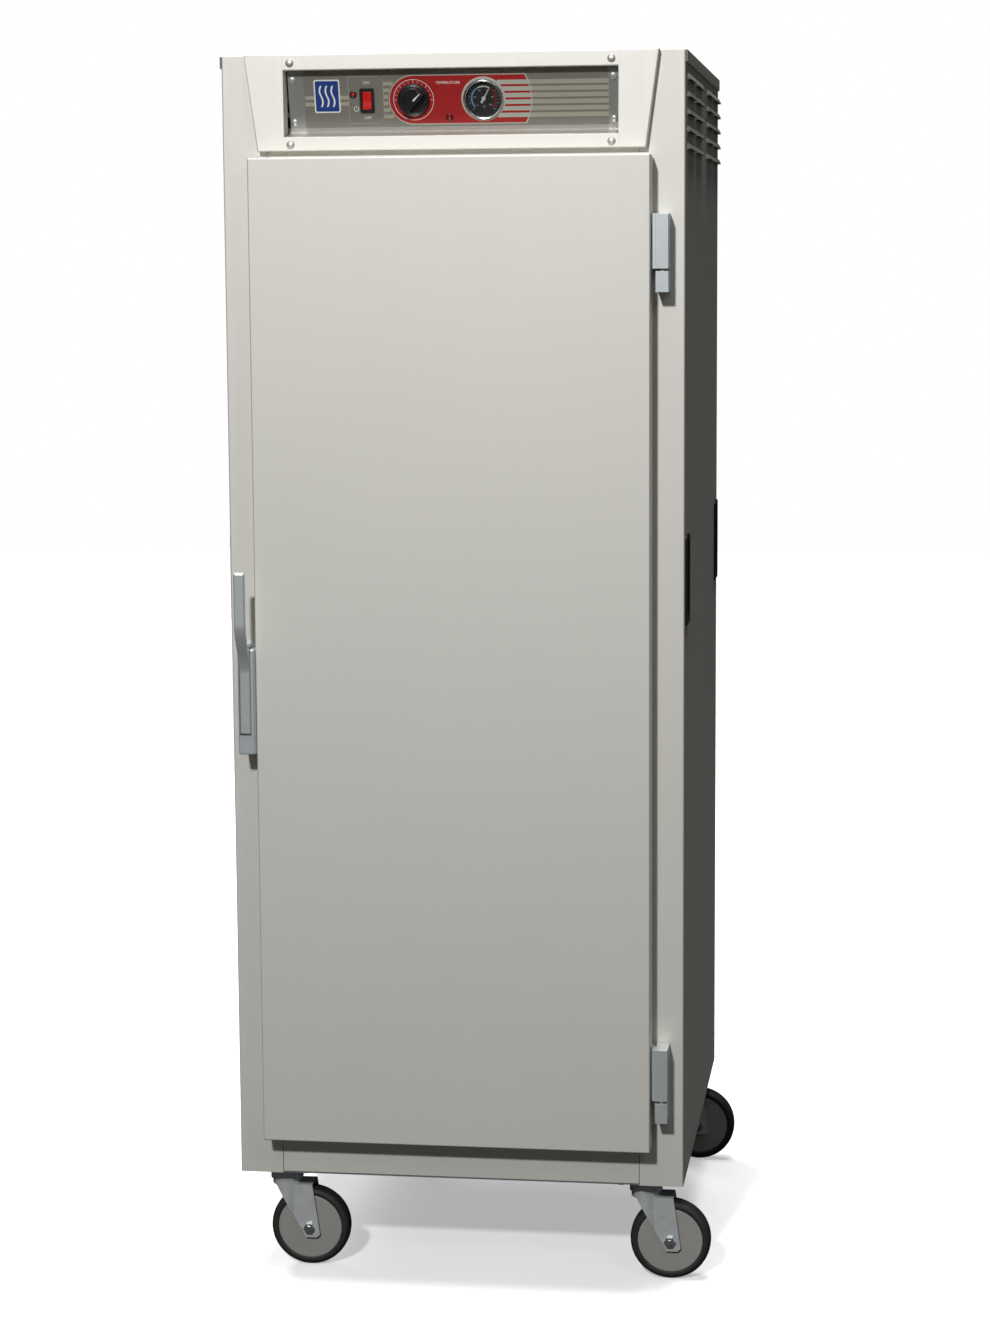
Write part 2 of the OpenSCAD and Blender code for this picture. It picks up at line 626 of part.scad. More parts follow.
module door_skin() color("whitesmoke") in_frame() difference() {
    door_slab(0, -door_t, door_back);
    door_slab(skin_t, -door_t + skin_t, door_back - skin_t);
    door_slab(door_return, -door_t + skin_t, door_back + 1);
}
module door_liner() color("gainsboro") in_frame()
    door_slab(skin_t, door_back - 2 * skin_t, door_back - skin_t);
module door_core() color("khaki") in_frame()
    door_slab(skin_t, -door_t + skin_t, door_back - 2 * skin_t);
module door_gasket() color("dimgray") in_frame() difference() {
    door_slab(4, door_back, -0.4);
    door_slab(4 + gasket_w, door_back - 1, 1);
}

// ---- casters -----------------------------------------------------------------------------------

module caster_plates() color("lightsteelblue") in_frame() for (i = [0:3]) at_caster(i) difference() {
    union() {
        box([-plate_half.x, -plate_half.y, z_base - plate_t], [plate_half.x, plate_half.y, z_base]);
        translate([0, 0, z_base - plate_t - 7]) cylinder(r = raceway_r, h = 8);
        translate([0, 0, z_base - plate_t - 20]) cylinder(r = kingpin_r, h = 20);
    }
    for (dx = [-caster_bolt_dx, caster_bolt_dx], dy = [-caster_bolt_dy, caster_bolt_dy])
        translate([dx, dy, z_base - 10]) cylinder(r = bolt_r + 0.3, h = 20);
}

module caster_bolts() color("silver") in_frame() bolt_places() {
    translate([0, 0, z_base - plate_t - 5]) cylinder(r = 7, h = 5, $fn = 6);
    translate([0, 0, z_base - plate_t]) cylinder(r = bolt_r, h = plate_t + chassis_t + 8);
    translate([0, 0, z_base + chassis_t]) cylinder(r = 7, h = 6, $fn = 6);
}

// one fork: a swivel head, a bridge over the wheel, a round neck cut off along a slant, and two flat legs
fork_top = z_base - plate_t - 7.4;
head_h = 12;
bridge_z = wheel_d + 4.5;
neck_r = 25;
neck_x1 = 16;                          // where the neck ends
leg_x0 = neck_x1 - 1.5;                // where the legs start, inside the neck
neck_rise = 0.6;                       // the neck's cut edge lies this far above the legs' one
heel = [-18.5, fork_top - head_h];     // ends of the slant, as x and height
toe = [trail - 11, axle_z - 5.5];
slant = (toe.y - heel.y) / (toe.x - heel.x);
function slant_z(x) = heel.y + slant * (x - heel.x);
leg_corner = 5;
leg_x1 = trail + 17;
leg_foot = axle_z - 16;
leg_top_x = trail + 5.6;

module fork_leg() linear_extrude(fork_t) difference() {
    polygon([[leg_x0, bridge_z + fork_t], [leg_x0, slant_z(leg_x0)], toe,
        [toe.x + leg_corner, leg_foot], [leg_x1 - leg_corner, leg_foot],
        [leg_x1, leg_foot + leg_corner], [leg_top_x, bridge_z + fork_t]]);
    translate([trail, axle_z]) circle(r = axle_r);
}
module fork_neck() difference() {
    low = slant_z(neck_x1);
    cut = [for (x = [-2 * neck_r, neck_x1 + 1]) [x, slant_z(x) + neck_rise]];
    translate([0, 0, low]) cylinder(r = neck_r, h = heel.y - low);
    translate([0, 0, low - 1]) cylinder(r = neck_r - fork_t, h = heel.y - low + 2);
    box([neck_x1, -2 * neck_r, low - 1], [2 * neck_r, 2 * neck_r, heel.y + 1]);
    box([-2 * neck_r, -fork_gap / 2 + 1.7, low - 1], [2 * neck_r, fork_gap / 2 - 1.7, bridge_z - 2]);
    rotate([90, 0, 0]) translate([0, 0, -2 * neck_r]) linear_extrude(4 * neck_r)
        polygon([cut[0], [cut[0].x, low - 1], [cut[1].x, low - 1], cut[1]]);
}
module caster_fork(i) color("lightsteelblue") in_frame() at_caster(i) difference() {
    union() {
        translate([0, 0, heel.y]) cylinder(r = raceway_r - 1, h = head_h);
        translate([0, 0, bridge_z]) cylinder(r = neck_r - 2, h = fork_top - bridge_z);
        box([0, -fork_gap / 2 - fork_t, bridge_z], [leg_top_x, fork_gap / 2 + fork_t, bridge_z + fork_t]);
        fork_neck();
        for (y = [-fork_gap / 2, fork_gap / 2 + fork_t]) translate([0, y, 0]) rotate([90, 0, 0]) fork_leg();
    }
    translate([0, 0, bridge_z - 1]) cylinder(r = kingpin_r + fit, h = 30);
}

// the axle, the hub and the tyre are built about the wheel's own axis
module at_axle(i) in_frame() at_caster(i) translate([trail, 0, axle_z]) rotate([90, 0, 0]) children();
module caster_axle(i) color("silver") at_axle(i) {
    reach = fork_gap / 2 + fork_t;
    translate([0, 0, -reach]) cylinder(r = axle_r, h = 2 * reach);
    for (z = [reach, -reach - 6]) translate([0, 0, z]) cylinder(r = 9, h = 6, $fn = 6);
    translate([0, 0, reach + 6]) cylinder(r = 4.5, h = 3);
}

hub_r = 51;
module caster_hub(i) color("darkgray") at_axle(i) difference() {
    union() {
        translate([0, 0, -14]) cylinder(r = hub_r, h = 28);
        translate([0, 0, -18.4]) cylinder(r = 10, h = 36.8);
    }
    translate([0, 0, -30]) cylinder(r = axle_r + fit, h = 60);
}
module caster_tyre(i) color("dimgray") at_axle(i) rotate_extrude($fn = 96) {
    edge = 5;
    translate([hub_r, -tread_w / 2]) square([wheel_d / 2 - edge - hub_r, tread_w]);
    translate([hub_r, -tread_w / 2 + edge]) square([wheel_d / 2 - hub_r, tread_w - 2 * edge]);
    for (s = [-1, 1]) translate([wheel_d / 2 - edge, s * (tread_w / 2 - edge)]) circle(r = edge);
}

side_panel_left();
side_panel_right();
back_panel();
top_cover();
base_chassis();
front_sill();
front_header();
inner_liner();
cabinet_insulation();
slide_uprights();
wire_slides();
rear_air_duct();
blower_motor();
heat_module_tray();
heater_element();
thermostat();
terminal_block();
fascia_frame();
fascia_rivets_screws();
control_panel();
rocker_bezel();
indicator_lamps();
gauge_case();
gauge_dial();
gauge_lens();
power_inlet();
latch_strike();
hinge_blocks();
hinge_pins();
hand_grips();
caster_plates();
caster_bolts();
door_skin();
door_liner();
door_core();
door_gasket();
hinge_leaves();
latch_body();
latch_lever();
latch_pin();
rocker();
temperature_knob();
gauge_needle();
blower_wheel();
for (i = [0:3]) {
    caster_fork(i);
    caster_axle(i);
    caster_hub(i);
    caster_tyre(i);
}
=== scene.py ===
import json
import math

import bmesh
import bpy
from mathutils import Matrix, Vector

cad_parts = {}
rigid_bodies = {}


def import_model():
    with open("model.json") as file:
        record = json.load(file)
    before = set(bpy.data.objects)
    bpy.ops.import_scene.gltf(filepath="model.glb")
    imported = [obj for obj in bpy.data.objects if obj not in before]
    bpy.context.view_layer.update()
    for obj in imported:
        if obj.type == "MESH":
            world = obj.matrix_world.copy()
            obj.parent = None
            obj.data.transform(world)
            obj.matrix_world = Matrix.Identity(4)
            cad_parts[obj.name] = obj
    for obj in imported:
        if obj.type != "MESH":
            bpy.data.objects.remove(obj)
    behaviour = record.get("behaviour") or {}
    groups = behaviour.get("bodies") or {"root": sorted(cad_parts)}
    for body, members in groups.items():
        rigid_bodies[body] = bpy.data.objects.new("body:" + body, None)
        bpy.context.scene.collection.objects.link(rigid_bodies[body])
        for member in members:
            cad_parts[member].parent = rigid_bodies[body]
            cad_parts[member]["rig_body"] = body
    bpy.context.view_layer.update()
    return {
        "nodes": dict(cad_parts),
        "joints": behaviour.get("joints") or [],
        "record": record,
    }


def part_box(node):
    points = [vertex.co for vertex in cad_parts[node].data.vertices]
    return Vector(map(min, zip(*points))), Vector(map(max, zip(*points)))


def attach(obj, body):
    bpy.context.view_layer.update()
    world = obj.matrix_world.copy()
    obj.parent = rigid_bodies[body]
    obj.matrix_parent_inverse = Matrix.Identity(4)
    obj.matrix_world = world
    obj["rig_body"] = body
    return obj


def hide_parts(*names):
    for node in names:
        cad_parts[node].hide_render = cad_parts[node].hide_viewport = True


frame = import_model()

# ---- the cabinet's own frame: millimetres, x from the middle, y from the stile face, z from the floor ----

MM = 0.001
STILE_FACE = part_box("front_sill")[0].y
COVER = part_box("top_cover")
MIDDLE = (COVER[0].x + COVER[1].x) / 2
TO_ROW = Matrix.Translation((MIDDLE, STILE_FACE, 0)) @ Matrix.Scale(MM, 4)
TO_CABINET = TO_ROW.inverted()
JOINTS = {joint["name"]: joint for joint in frame["joints"]}
SLOT_OF = {part["node"]: part["material_slot"] for part in frame["record"]["subparts"]}


def cab(node):
    """Lowest and highest corner of a CAD node, in the cabinet's frame."""
    lo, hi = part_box(node)
    return TO_CABINET @ lo, TO_CABINET @ hi


def joint_place(name):
    return TO_CABINET @ Vector(JOINTS[name]["pos_m"])


SHEET = 1.5                                       # thickness of the outer sheet metal
COVER_GAP = 1.2                                   # between the cover's lip and the side
HALF_W = cab("top_cover")[1].x - SHEET - COVER_GAP
DEPTH = cab("top_cover")[1].y - SHEET
TOP = cab("top_cover")[1].z
BASE = cab("side_panel_right")[0].z
OPEN_HALF = cab("side_panel_right")[0].x
SWIVELS = ("front_left", "front_right", "rear_left", "rear_right")

# the recessed control panel leans back: its frame is x along it, -y out of it, z up its face
outward = Vector(JOINTS["temperature_turn"]["axis"])
PANEL_TILT = math.atan2(-outward.z, -outward.y)
PANEL_ORIGIN = Vector((0, joint_place("temperature_turn").y, joint_place("temperature_turn").z))
PANEL = Matrix.Translation(PANEL_ORIGIN) @ Matrix.Rotation(PANEL_TILT, 4, "X")
KNOB_X = joint_place("temperature_turn").x
GAUGE_X = joint_place("needle_sweep").x
SWITCH_X = joint_place("power_rocker").x

# ---- mesh helpers ------------------------------------------------------------------------------------


def mesh_object(name, bm, smooth=35):
    """Turns a bmesh in the cabinet's frame into an object in the row frame."""
    bmesh.ops.recalc_face_normals(bm, faces=bm.faces)
    bm.transform(TO_ROW)
    mesh = bpy.data.meshes.new(name)
    bm.to_mesh(mesh)
    bm.free()
    mesh.polygons.foreach_set("use_smooth", [True] * len(mesh.polygons))
    mesh.set_sharp_from_angle(angle=math.radians(smooth))
    obj = bpy.data.objects.new(name, mesh)
    bpy.context.scene.collection.objects.link(obj)
    return obj


def settle(obj):
    """Applies the object's modifiers."""
    graph = bpy.context.evaluated_depsgraph_get()
    mesh = bpy.data.meshes.new_from_object(obj.evaluated_get(graph))
    obj.modifiers.clear()
    old = obj.data
    obj.data = mesh
    bpy.data.meshes.remove(old)


def soften(obj, width, segments=2, angle=30):
    """Rounds the edges that are sharper than the angle, with a radius in millimetres."""
    bevel = obj.modifiers.new("round", "BEVEL")
    bevel.width = width * MM
    bevel.segments = segments
    bevel.limit_method = "ANGLE"
    bevel.angle_limit = math.radians(angle)
    settle(obj)
    return obj


def carve(obj, bm):
    """Takes the shapes in the bmesh out of the object."""
    cutter = mesh_object("cutter", bm)
    boolean = obj.modifiers.new("carve", "BOOLEAN")
    boolean.operation = "DIFFERENCE"
    boolean.solver = "EXACT"
    boolean.object = cutter
    settle(obj)
    bpy.data.objects.remove(cutter)
    return obj


def even_shading(obj, sharp):
    """Flat faces shade flat, and the small rounds between them shade smooth."""
    obj.data.polygons.foreach_set("use_smooth", [True] * len(obj.data.polygons))
    obj.data.set_sharp_from_angle(angle=math.radians(sharp))
    weighted = obj.modifiers.new("even", "WEIGHTED_NORMAL")
    weighted.keep_sharp = True
    settle(obj)


def place(obj, body, slot, *replaced, sharp=40):
    """Gives a piece its material, its body and the CAD nodes that it stands for."""
    even_shading(obj, sharp)
    obj.data.materials.clear()
    obj.data.materials.append(MATERIALS[slot])
    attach(obj, body)
    if replaced:
        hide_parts(*replaced)
    return obj


def refine(node, width, segments=2):
    """A copy of a CAD node with its edges rounded, in place of the node."""
    bm = bmesh.new()
    bm.from_mesh(frame["nodes"][node].data)
    bmesh.ops.remove_doubles(bm, verts=bm.verts, dist=1e-6)
    bmesh.ops.dissolve_limit(bm, angle_limit=math.radians(1), verts=bm.verts, edges=bm.edges)
    bm.transform(TO_CABINET)
    obj = soften(mesh_object(node + "_finished", bm), width, segments)
    return place(obj, frame["nodes"][node]["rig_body"], SLOT_OF[node], node)


def block(bm, lo, hi):
    corners = [bm.verts.new((x, y, z)) for x in (lo[0], hi[0]) for y in (lo[1], hi[1])
               for z in (lo[2], hi[2])]
    for face in ((0, 1, 3, 2), (4, 6, 7, 5), (0, 4, 5, 1), (2, 3, 7, 6), (0, 2, 6, 4), (1, 5, 7, 3)):
        bm.faces.new([corners[i] for i in face])


AXIS_POINT = {
    "x": lambda a, b, h: (h, a, b),
    "y": lambda a, b, h: (a, h, b),
    "z": lambda a, b, h: (a, b, h),
}


def prism(bm, outline, h0, h1, axis="y", where=Matrix()):
    """An outline of 2-D points, drawn out along an axis from h0 to h1."""
    point = AXIS_POINT[axis]
    low = [bm.verts.new(where @ Vector(point(a, b, h0))) for a, b in outline]
    high = [bm.verts.new(where @ Vector(point(a, b, h1))) for a, b in outline]
    bm.faces.new(low[::-1])
    bm.faces.new(high)
    for i in range(len(low)):
        j = (i + 1) % len(low)
        bm.faces.new((low[i], low[j], high[j], high[i]))


def arc(cx, cy, radius, start, end, steps=8):
    angles = [math.radians(start + (end - start) * i / steps) for i in range(steps + 1)]
    return [(cx + radius * math.cos(a), cy + radius * math.sin(a)) for a in angles]


def rounded(x0, y0, x1, y1, radius, steps=5):
    """Outline of a rectangle with round corners."""
    return (arc(x1 - radius, y0 + radius, radius, -90, 0, steps)
            + arc(x1 - radius, y1 - radius, radius, 0, 90, steps)
            + arc(x0 + radius, y1 - radius, radius, 90, 180, steps)
            + arc(x0 + radius, y0 + radius, radius, 180, 270, steps))


def band(bm, inner, outer, h0, h1, where=Matrix(), closed=True):
    """A flat band between two outlines with the same number of points, drawn out along y."""
    rings = [[bm.verts.new(where @ Vector((a, h, b))) for a, b in line] for line, h in
             ((inner, h0), (outer, h0), (outer, h1), (inner, h1))]
    count = len(inner)
    for i in range(count if closed else count - 1):
        j = (i + 1) % count
        for k in range(4):
            m = (k + 1) % 4
            bm.faces.new((rings[k][i], rings[k][j], rings[m][j], rings[m][i]))
    if not closed:
        bm.faces.new([ring[0] for ring in rings])
        bm.faces.new([ring[-1] for ring in rings][::-1])


def lathe(bm, profile, where=Matrix(), segments=48):
    """A profile of (radius, height) points turned about its z axis."""
    rings = []
    for radius, height in profile:
        count = segments if radius > 0 else 1
        rings.append([bm.verts.new(where @ Vector((radius * math.cos(2 * math.pi * i / segments),
                                                   radius * math.sin(2 * math.pi * i / segments), height)))
                      for i in range(count)])
    for a, b in zip(rings, rings[1:]):
        if len(a) == 1 and len(b) == 1:
            continue
        for i in range(segments):
            j = (i + 1) % segments
            if len(a) == 1:
                bm.faces.new((a[0], b[i], b[j]))
            elif len(b) == 1:
                bm.faces.new((a[i], a[j], b[0]))
            else:
                bm.faces.new((a[i], a[j], b[j], b[i]))


def facing(x, y, z, direction):
    """Places a lathe's z axis at a point, along a direction."""
    turn = Vector((0, 0, 1)).rotation_difference(Vector(direction)).to_matrix().to_4x4()
    return Matrix.Translation((x, y, z)) @ turn


def on_panel(x, z, spin=0):
    """Places a lathe on the control panel, its z axis out of the panel."""
    return PANEL @ Matrix.Translation((x, 0, z)) @ Matrix.Rotation(math.pi / 2, 4, "X") \
        @ Matrix.Rotation(math.radians(spin), 4, "Z")


def lettering(bm, words, size, where, thickness=0.05):
    """Generic words as flat raised letters, in the x-y plane of a placement."""
    curve = bpy.data.curves.new("words", "FONT")
    curve.body = words
    curve.size = size
    curve.extrude = thickness
    curve.align_x = "CENTER"
    curve.align_y = "CENTER"
    carrier = bpy.data.objects.new("words", curve)
    bpy.context.scene.collection.objects.link(carrier)
    mesh = bpy.data.meshes.new_from_object(carrier.evaluated_get(bpy.context.evaluated_depsgraph_get()))
    mesh.transform(where)
    bm.from_mesh(mesh)
    bpy.data.objects.remove(carrier)
    bpy.data.curves.remove(curve)
    bpy.data.meshes.remove(mesh)


# ---- materials ---------------------------------------------------------------------------------------


def pattern(tree, stretch, detail=3):
    """Noise in the row frame: stretch is how many features there are in a metre along x, y and z."""
    coordinates = tree.nodes.new("ShaderNodeTexCoord")
    mapping = tree.nodes.new("ShaderNodeMapping")
    mapping.inputs["Scale"].default_value = stretch
    noise = tree.nodes.new("ShaderNodeTexNoise")
    noise.inputs["Scale"].default_value = 1
    noise.inputs["Detail"].default_value = detail
    tree.links.new(coordinates.outputs["Object"], mapping.inputs["Vector"])
    tree.links.new(mapping.outputs["Vector"], noise.inputs["Vector"])
    return noise.outputs["Fac"]


def ramp(tree, factor, low, high):
    """Maps the noise's useful range to the range low to high."""
    spread = tree.nodes.new("ShaderNodeMapRange")
    spread.inputs["From Min"].default_value = 0.3
    spread.inputs["From Max"].default_value = 0.7
    spread.inputs["To Min"].default_value = low
    spread.inputs["To Max"].default_value = high
    tree.links.new(factor, spread.inputs["Value"])
    return spread.outputs["Result"]


def blend_colours(tree, factor, dark, light):
    mix = tree.nodes.new("ShaderNodeMix")
    mix.data_type = "RGBA"
    mix.inputs["A"].default_value = (*dark, 1)
    mix.inputs["B"].default_value = (*light, 1)
    tree.links.new(ramp(tree, factor, 0, 1), mix.inputs["Factor"])
    return mix.outputs["Result"]


def finish_of(name, colour, roughness, metallic=0.0, grain=(300, 300, 300), variation=0.04,
              relief=0.02, roughness_swing=0.05, broad=(5, 5, 5), **sockets):
    """A procedural finish: colour varies broadly, roughness and relief follow a finer grain."""
    material = bpy.data.materials.new(name)
    material.use_nodes = True
    tree = material.node_tree
    shader = tree.nodes["Principled BSDF"]
    shader.inputs["Metallic"].default_value = metallic
    for socket, value in sockets.items():
        shader.inputs[socket.replace("_", " ")].default_value = value
    fine = pattern(tree, grain)
    wide = pattern(tree, broad)
    dark = [c * (1 - variation) for c in colour]
    light = [min(1.0, c * (1 + variation)) for c in colour]
    tree.links.new(blend_colours(tree, wide, dark, light), shader.inputs["Base Color"])
    rough = ramp(tree, fine, roughness - roughness_swing, roughness + roughness_swing)
    tree.links.new(rough, shader.inputs["Roughness"])
    bump = tree.nodes.new("ShaderNodeBump")
    bump.inputs["Strength"].default_value = 0.5
    bump.inputs["Distance"].default_value = relief * MM
    tree.links.new(fine, bump.inputs["Height"])
    tree.links.new(bump.outputs["Normal"], shader.inputs["Normal"])
    return material


BRUSHED = (420, 420, 9)
CAST = (500, 500, 500)
MATERIALS = {
    "stainless": finish_of("stainless", (0.815, 0.80, 0.745), 0.60, 0.5, grain=BRUSHED, variation=0.006,
                           relief=0.004, roughness_swing=0.02),
    # the fascia's stainless steel with a lighter base colour: a painted highlight, so the fascia reads brighter
    # than the door in the same light
    "fascia_steel_painted_light": finish_of("fascia_steel_painted_light", (0.90, 0.885, 0.83), 0.60, 0.5, grain=BRUSHED,
                              variation=0.006,
                              relief=0.004, roughness_swing=0.02),
    "polished": finish_of("polished", (0.80, 0.79, 0.75), 0.3, 0.7, grain=(5, 300, 300), variation=0.02,
                          relief=0.002, roughness_swing=0.04, broad=(12, 60, 60)),
    # bare steel of the control panel plate, coloured far darker than steel: painted shade for the shadow in the
    # recess
    "end_plate_painted_shade": finish_of("end_plate_painted_shade", (0.38, 0.38, 0.36), 0.42, 0.6, grain=BRUSHED, variation=0.02,
                           relief=0.004),
    "liner_steel": finish_of("liner_steel", (0.72, 0.72, 0.70), 0.34, 0.95, grain=(9, 9, 420),
                             variation=0.03),
    "rack_wire": finish_of("rack_wire", (0.70, 0.71, 0.72), 0.22, 1.0, variation=0.03),
    "galvanised": finish_of("galvanised", (0.58, 0.60, 0.61), 0.42, 0.9, grain=(60, 60, 60), variation=0.14,
                            broad=(45, 45, 45)),
    "glass_wool": finish_of("glass_wool", (0.72, 0.58, 0.26), 0.95, grain=(140, 30, 140), variation=0.18,
                            relief=1.5),
    "motor_black": finish_of("motor_black", (0.03, 0.03, 0.032), 0.5, 0.3, grain=CAST),
    "blower_zinc": finish_of("blower_zinc", (0.60, 0.62, 0.64), 0.36, 0.95, grain=(60, 60, 60),
                             variation=0.08),
    "heater_sheath": finish_of("heater_sheath", (0.22, 0.14, 0.09), 0.45, 0.8, broad=(30, 30, 30),
                               variation=0.25),
    "thermostat_plastic": finish_of("thermostat_plastic", (0.12, 0.12, 0.13), 0.5, grain=CAST),
    "bright_fastener": finish_of("bright_fastener", (0.62, 0.62, 0.60), 0.45, 0.7, variation=0.02,
                                 relief=0.0, roughness_swing=0.02),
    "panel_grey": finish_of("panel_grey", (0.235, 0.225, 0.190), 0.42, 0.25, grain=CAST, variation=0.03),
    "black_plastic": finish_of("black_plastic", (0.018, 0.018, 0.019), 0.38, grain=CAST, relief=0.04),
    "knob_black": finish_of("knob_black", (0.014, 0.014, 0.015), 0.33, grain=CAST, relief=0.03),
    "switch_red": finish_of("switch_red", (0.62, 0.012, 0.010), 0.28, grain=CAST, variation=0.05,
                            Coat_Weight=0.3),
    "lamp_red": finish_of("lamp_red", (0.55, 0.01, 0.012), 0.15, grain=CAST, Transmission_Weight=0.35,
                          Coat_Weight=0.5),
    "gauge_chrome": finish_of("gauge_chrome", (0.72, 0.74, 0.74), 0.2, 1.0, variation=0.02, relief=0.0),
    "dial_black": finish_of("dial_black", (0.02, 0.02, 0.021), 0.55, grain=CAST),
    "needle_white": finish_of("needle_white", (0.82, 0.82, 0.80), 0.45, grain=CAST, variation=0.02),
    "cast_zinc": finish_of("cast_zinc", (0.63, 0.68, 0.69), 0.40, 0.5, grain=CAST, variation=0.04,
                           relief=0.05,
                           broad=(25, 25, 25)),
    "strike_steel": finish_of("strike_steel", (0.62, 0.63, 0.64), 0.33, 0.95, grain=BRUSHED),
    "gasket_grey": finish_of("gasket_grey", (0.16, 0.16, 0.165), 0.6, grain=CAST, relief=0.06),
    "caster_zinc": finish_of("caster_zinc", (0.72, 0.75, 0.76), 0.42, 0.45, grain=(90, 90, 90),
                             variation=0.05,
                             broad=(60, 60, 60)),
    "caster_steel": finish_of("caster_steel", (0.62, 0.64, 0.65), 0.3, 0.95, variation=0.04),
    "hub_grey": finish_of("hub_grey", (0.36, 0.35, 0.325), 0.5, grain=CAST, relief=0.05, variation=0.05),
    "tread_black": finish_of("tread_black", (0.022, 0.022, 0.022), 0.62, grain=CAST, relief=0.08,
                             variation=0.15, broad=(60, 60, 60)),
    "ink_beige": finish_of("ink_beige", (0.42, 0.40, 0.32), 0.45, 0.15, grain=CAST, variation=0.03),
    "ink_pale": finish_of("ink_pale", (0.46, 0.47, 0.40), 0.45, grain=CAST, variation=0.03),
    "ink_red": finish_of("ink_red", (0.38, 0.014, 0.014), 0.4, grain=CAST, variation=0.04),
    "ink_blue": finish_of("ink_blue", (0.015, 0.05, 0.24), 0.4, grain=CAST, variation=0.04),
    "ink_sky": finish_of("ink_sky", (0.22, 0.42, 0.62), 0.4, grain=CAST, variation=0.04),
}


MATERIALS["gauge_glass"] = finish_of("gauge_glass", (0.03, 0.03, 0.03), 0.06, grain=CAST, variation=0.1,
                                     relief=0.0,
                                     roughness_swing=0.02, Alpha=0.12)

for node, obj in frame["nodes"].items():
    obj.data.materials.clear()
    obj.data.materials.append(MATERIALS[SLOT_OF[node]])

# ---- outer shell -------------------------------------------------------------------------------------

LOUVRE_LENGTH = 138
LOUVRE_STARTS = (38, 204, 464, DEPTH - 143)
LOUVRE_HEIGHTS = [TOP - 35 - 25.6 * row for row in range(5)]
LOUVRE_OUT = cab("side_panel_right")[1].x - HALF_W
GRIP_LOW, GRIP_HIGH = cab("hand_grips")[0].z, cab("hand_grips")[1].z
GRIP_WIDTH = 64
GRIP_STARTS = (13, DEPTH - 13 - GRIP_WIDTH)


def folded_outline():
    """Plan of a side panel: front stile, side and back flange, with bent corners."""
    bend = 2.6
    outer = ([(OPEN_HALF, 0)] + arc(HALF_W - bend, bend, bend, -90, 0, 5)
             + arc(HALF_W - bend, DEPTH - bend, bend, 0, 90, 5) + [(HALF_W - 26, DEPTH)])
    tight = bend - SHEET
    inner = ([(HALF_W - 26, DEPTH - SHEET)] + arc(HALF_W - bend, DEPTH - bend, tight, 90, 0, 3)
             + arc(HALF_W - bend, bend, tight, 0, -90, 3) + [(OPEN_HALF, SHEET)])
    return outer + inner


def louvre_hood(bm, y0, z0, along=24, down=7):
    """A pressed louvre: a low hood that opens downwards, with steep closed ends."""
    round_end, high = 6, 10
    grid = []
    for i in range(along + 1):
        run = (1 - math.cos(math.pi * i / along)) / 2 * LOUVRE_LENGTH
        edge = min(run, LOUVRE_LENGTH - run, round_end) / round_end
        swell = math.sqrt(max(0.0, 1 - (1 - edge) ** 2))
        row = []
        for k in range(down + 1):
            fall = k / down
            out = (LOUVRE_OUT - 0.2) * swell * math.sin(fall * math.pi / 2) ** 0.8
            height = z0 - 7 + high * (1 - fall) * (0.5 + 0.5 * swell)
            row.append(bm.verts.new((HALF_W - 0.4 + out, y0 + run, height)))
        grid.append(row)
    for a, b in zip(grid, grid[1:]):
        for k in range(down):
            bm.faces.new((a[k], a[k + 1], b[k + 1], b[k]))


def side_panel(side, node):
    bm = bmesh.new()
    prism(bm, folded_outline(), BASE, TOP - SHEET, "z")
    panel = mesh_object(node + "_sheet", bm)
    bm = bmesh.new()
    for y in LOUVRE_STARTS:
        for z in LOUVRE_HEIGHTS:
            block(bm, (HALF_W - 4, y + 3, z - 7), (HALF_W + 2, y + LOUVRE_LENGTH - 3, z + 1))
    for y in GRIP_STARTS:
        block(bm, (HALF_W - 5, y + 3, GRIP_LOW + 3), (HALF_W + 5, y + GRIP_WIDTH - 3, GRIP_HIGH - 3))
    carve(panel, bm)
    bm = bmesh.new()
    for y in LOUVRE_STARTS:
        for z in LOUVRE_HEIGHTS:
            louvre_hood(bm, y, z)
    hoods = mesh_object(node + "_louvres", bm, 60)
    thicken = hoods.modifiers.new("thicken", "SOLIDIFY")
    thicken.thickness = 0.9 * MM
    thicken.offset = 0
    settle(hoods)
    bm = bmesh.new()
    block(bm, (HALF_W - 12, SHEET, BASE), (HALF_W - SHEET, DEPTH - SHEET, BASE + SHEET))
    flange = mesh_object(node + "_flange", bm)
    bpy.context.view_layer.update()
    bm = bmesh.new()
    for part in (panel, hoods, flange):
        bm.from_mesh(part.data)
        bpy.data.objects.remove(part)
    if side < 0:
        to_middle = Matrix.Translation((MIDDLE, 0, 0))
        mirror = to_middle @ Matrix.Scale(-1, 4, (1, 0, 0)) @ to_middle.inverted()
        bm.transform(mirror)
    bm.transform(TO_CABINET)
    place(mesh_object(node + "_folded", bm), "cabinet", "stainless", node)


side_panel(1, "side_panel_right")
side_panel(-1, "side_panel_left")


def folded_cover():
    """A lid whose lips hang a little off the sides, so that a dark line shows under it."""
    lo, hi = cab("top_cover")
    bm = bmesh.new()
    block(bm, lo, hi)
    cover = soften(mesh_object("top_cover_folded", bm), 1.4, 3)
    bm = bmesh.new()
    block(bm, (lo.x + 1.3, lo.y - 5, lo.z - 5), (hi.x - 1.3, hi.y - 1.3, hi.z - SHEET))
    carve(cover, bm)
    place(cover, "cabinet", "stainless", "top_cover")


folded_cover()


def back_fixings():
    """Pan-head screws that hold the back panel and the rear edge of the top cover."""
    bm = bmesh.new()
    head = [(0, 1.3), (2.2, 1.2), (3.6, 0.7), (4.2, 0), (4.2, -0.4), (0, -0.4)]
    rows = 7
    for side in (-1, 1):
        for i in range(rows):
            z = BASE + 60 + i * (TOP - BASE - 150) / (rows - 1)
            lathe(bm, head, facing(side * (HALF_W - 13), DEPTH, z, (0, 1, 0)), 20)
    screws = mesh_object("back_panel_screws", bm, 50)
    place(screws, "cabinet", "bright_fastener")


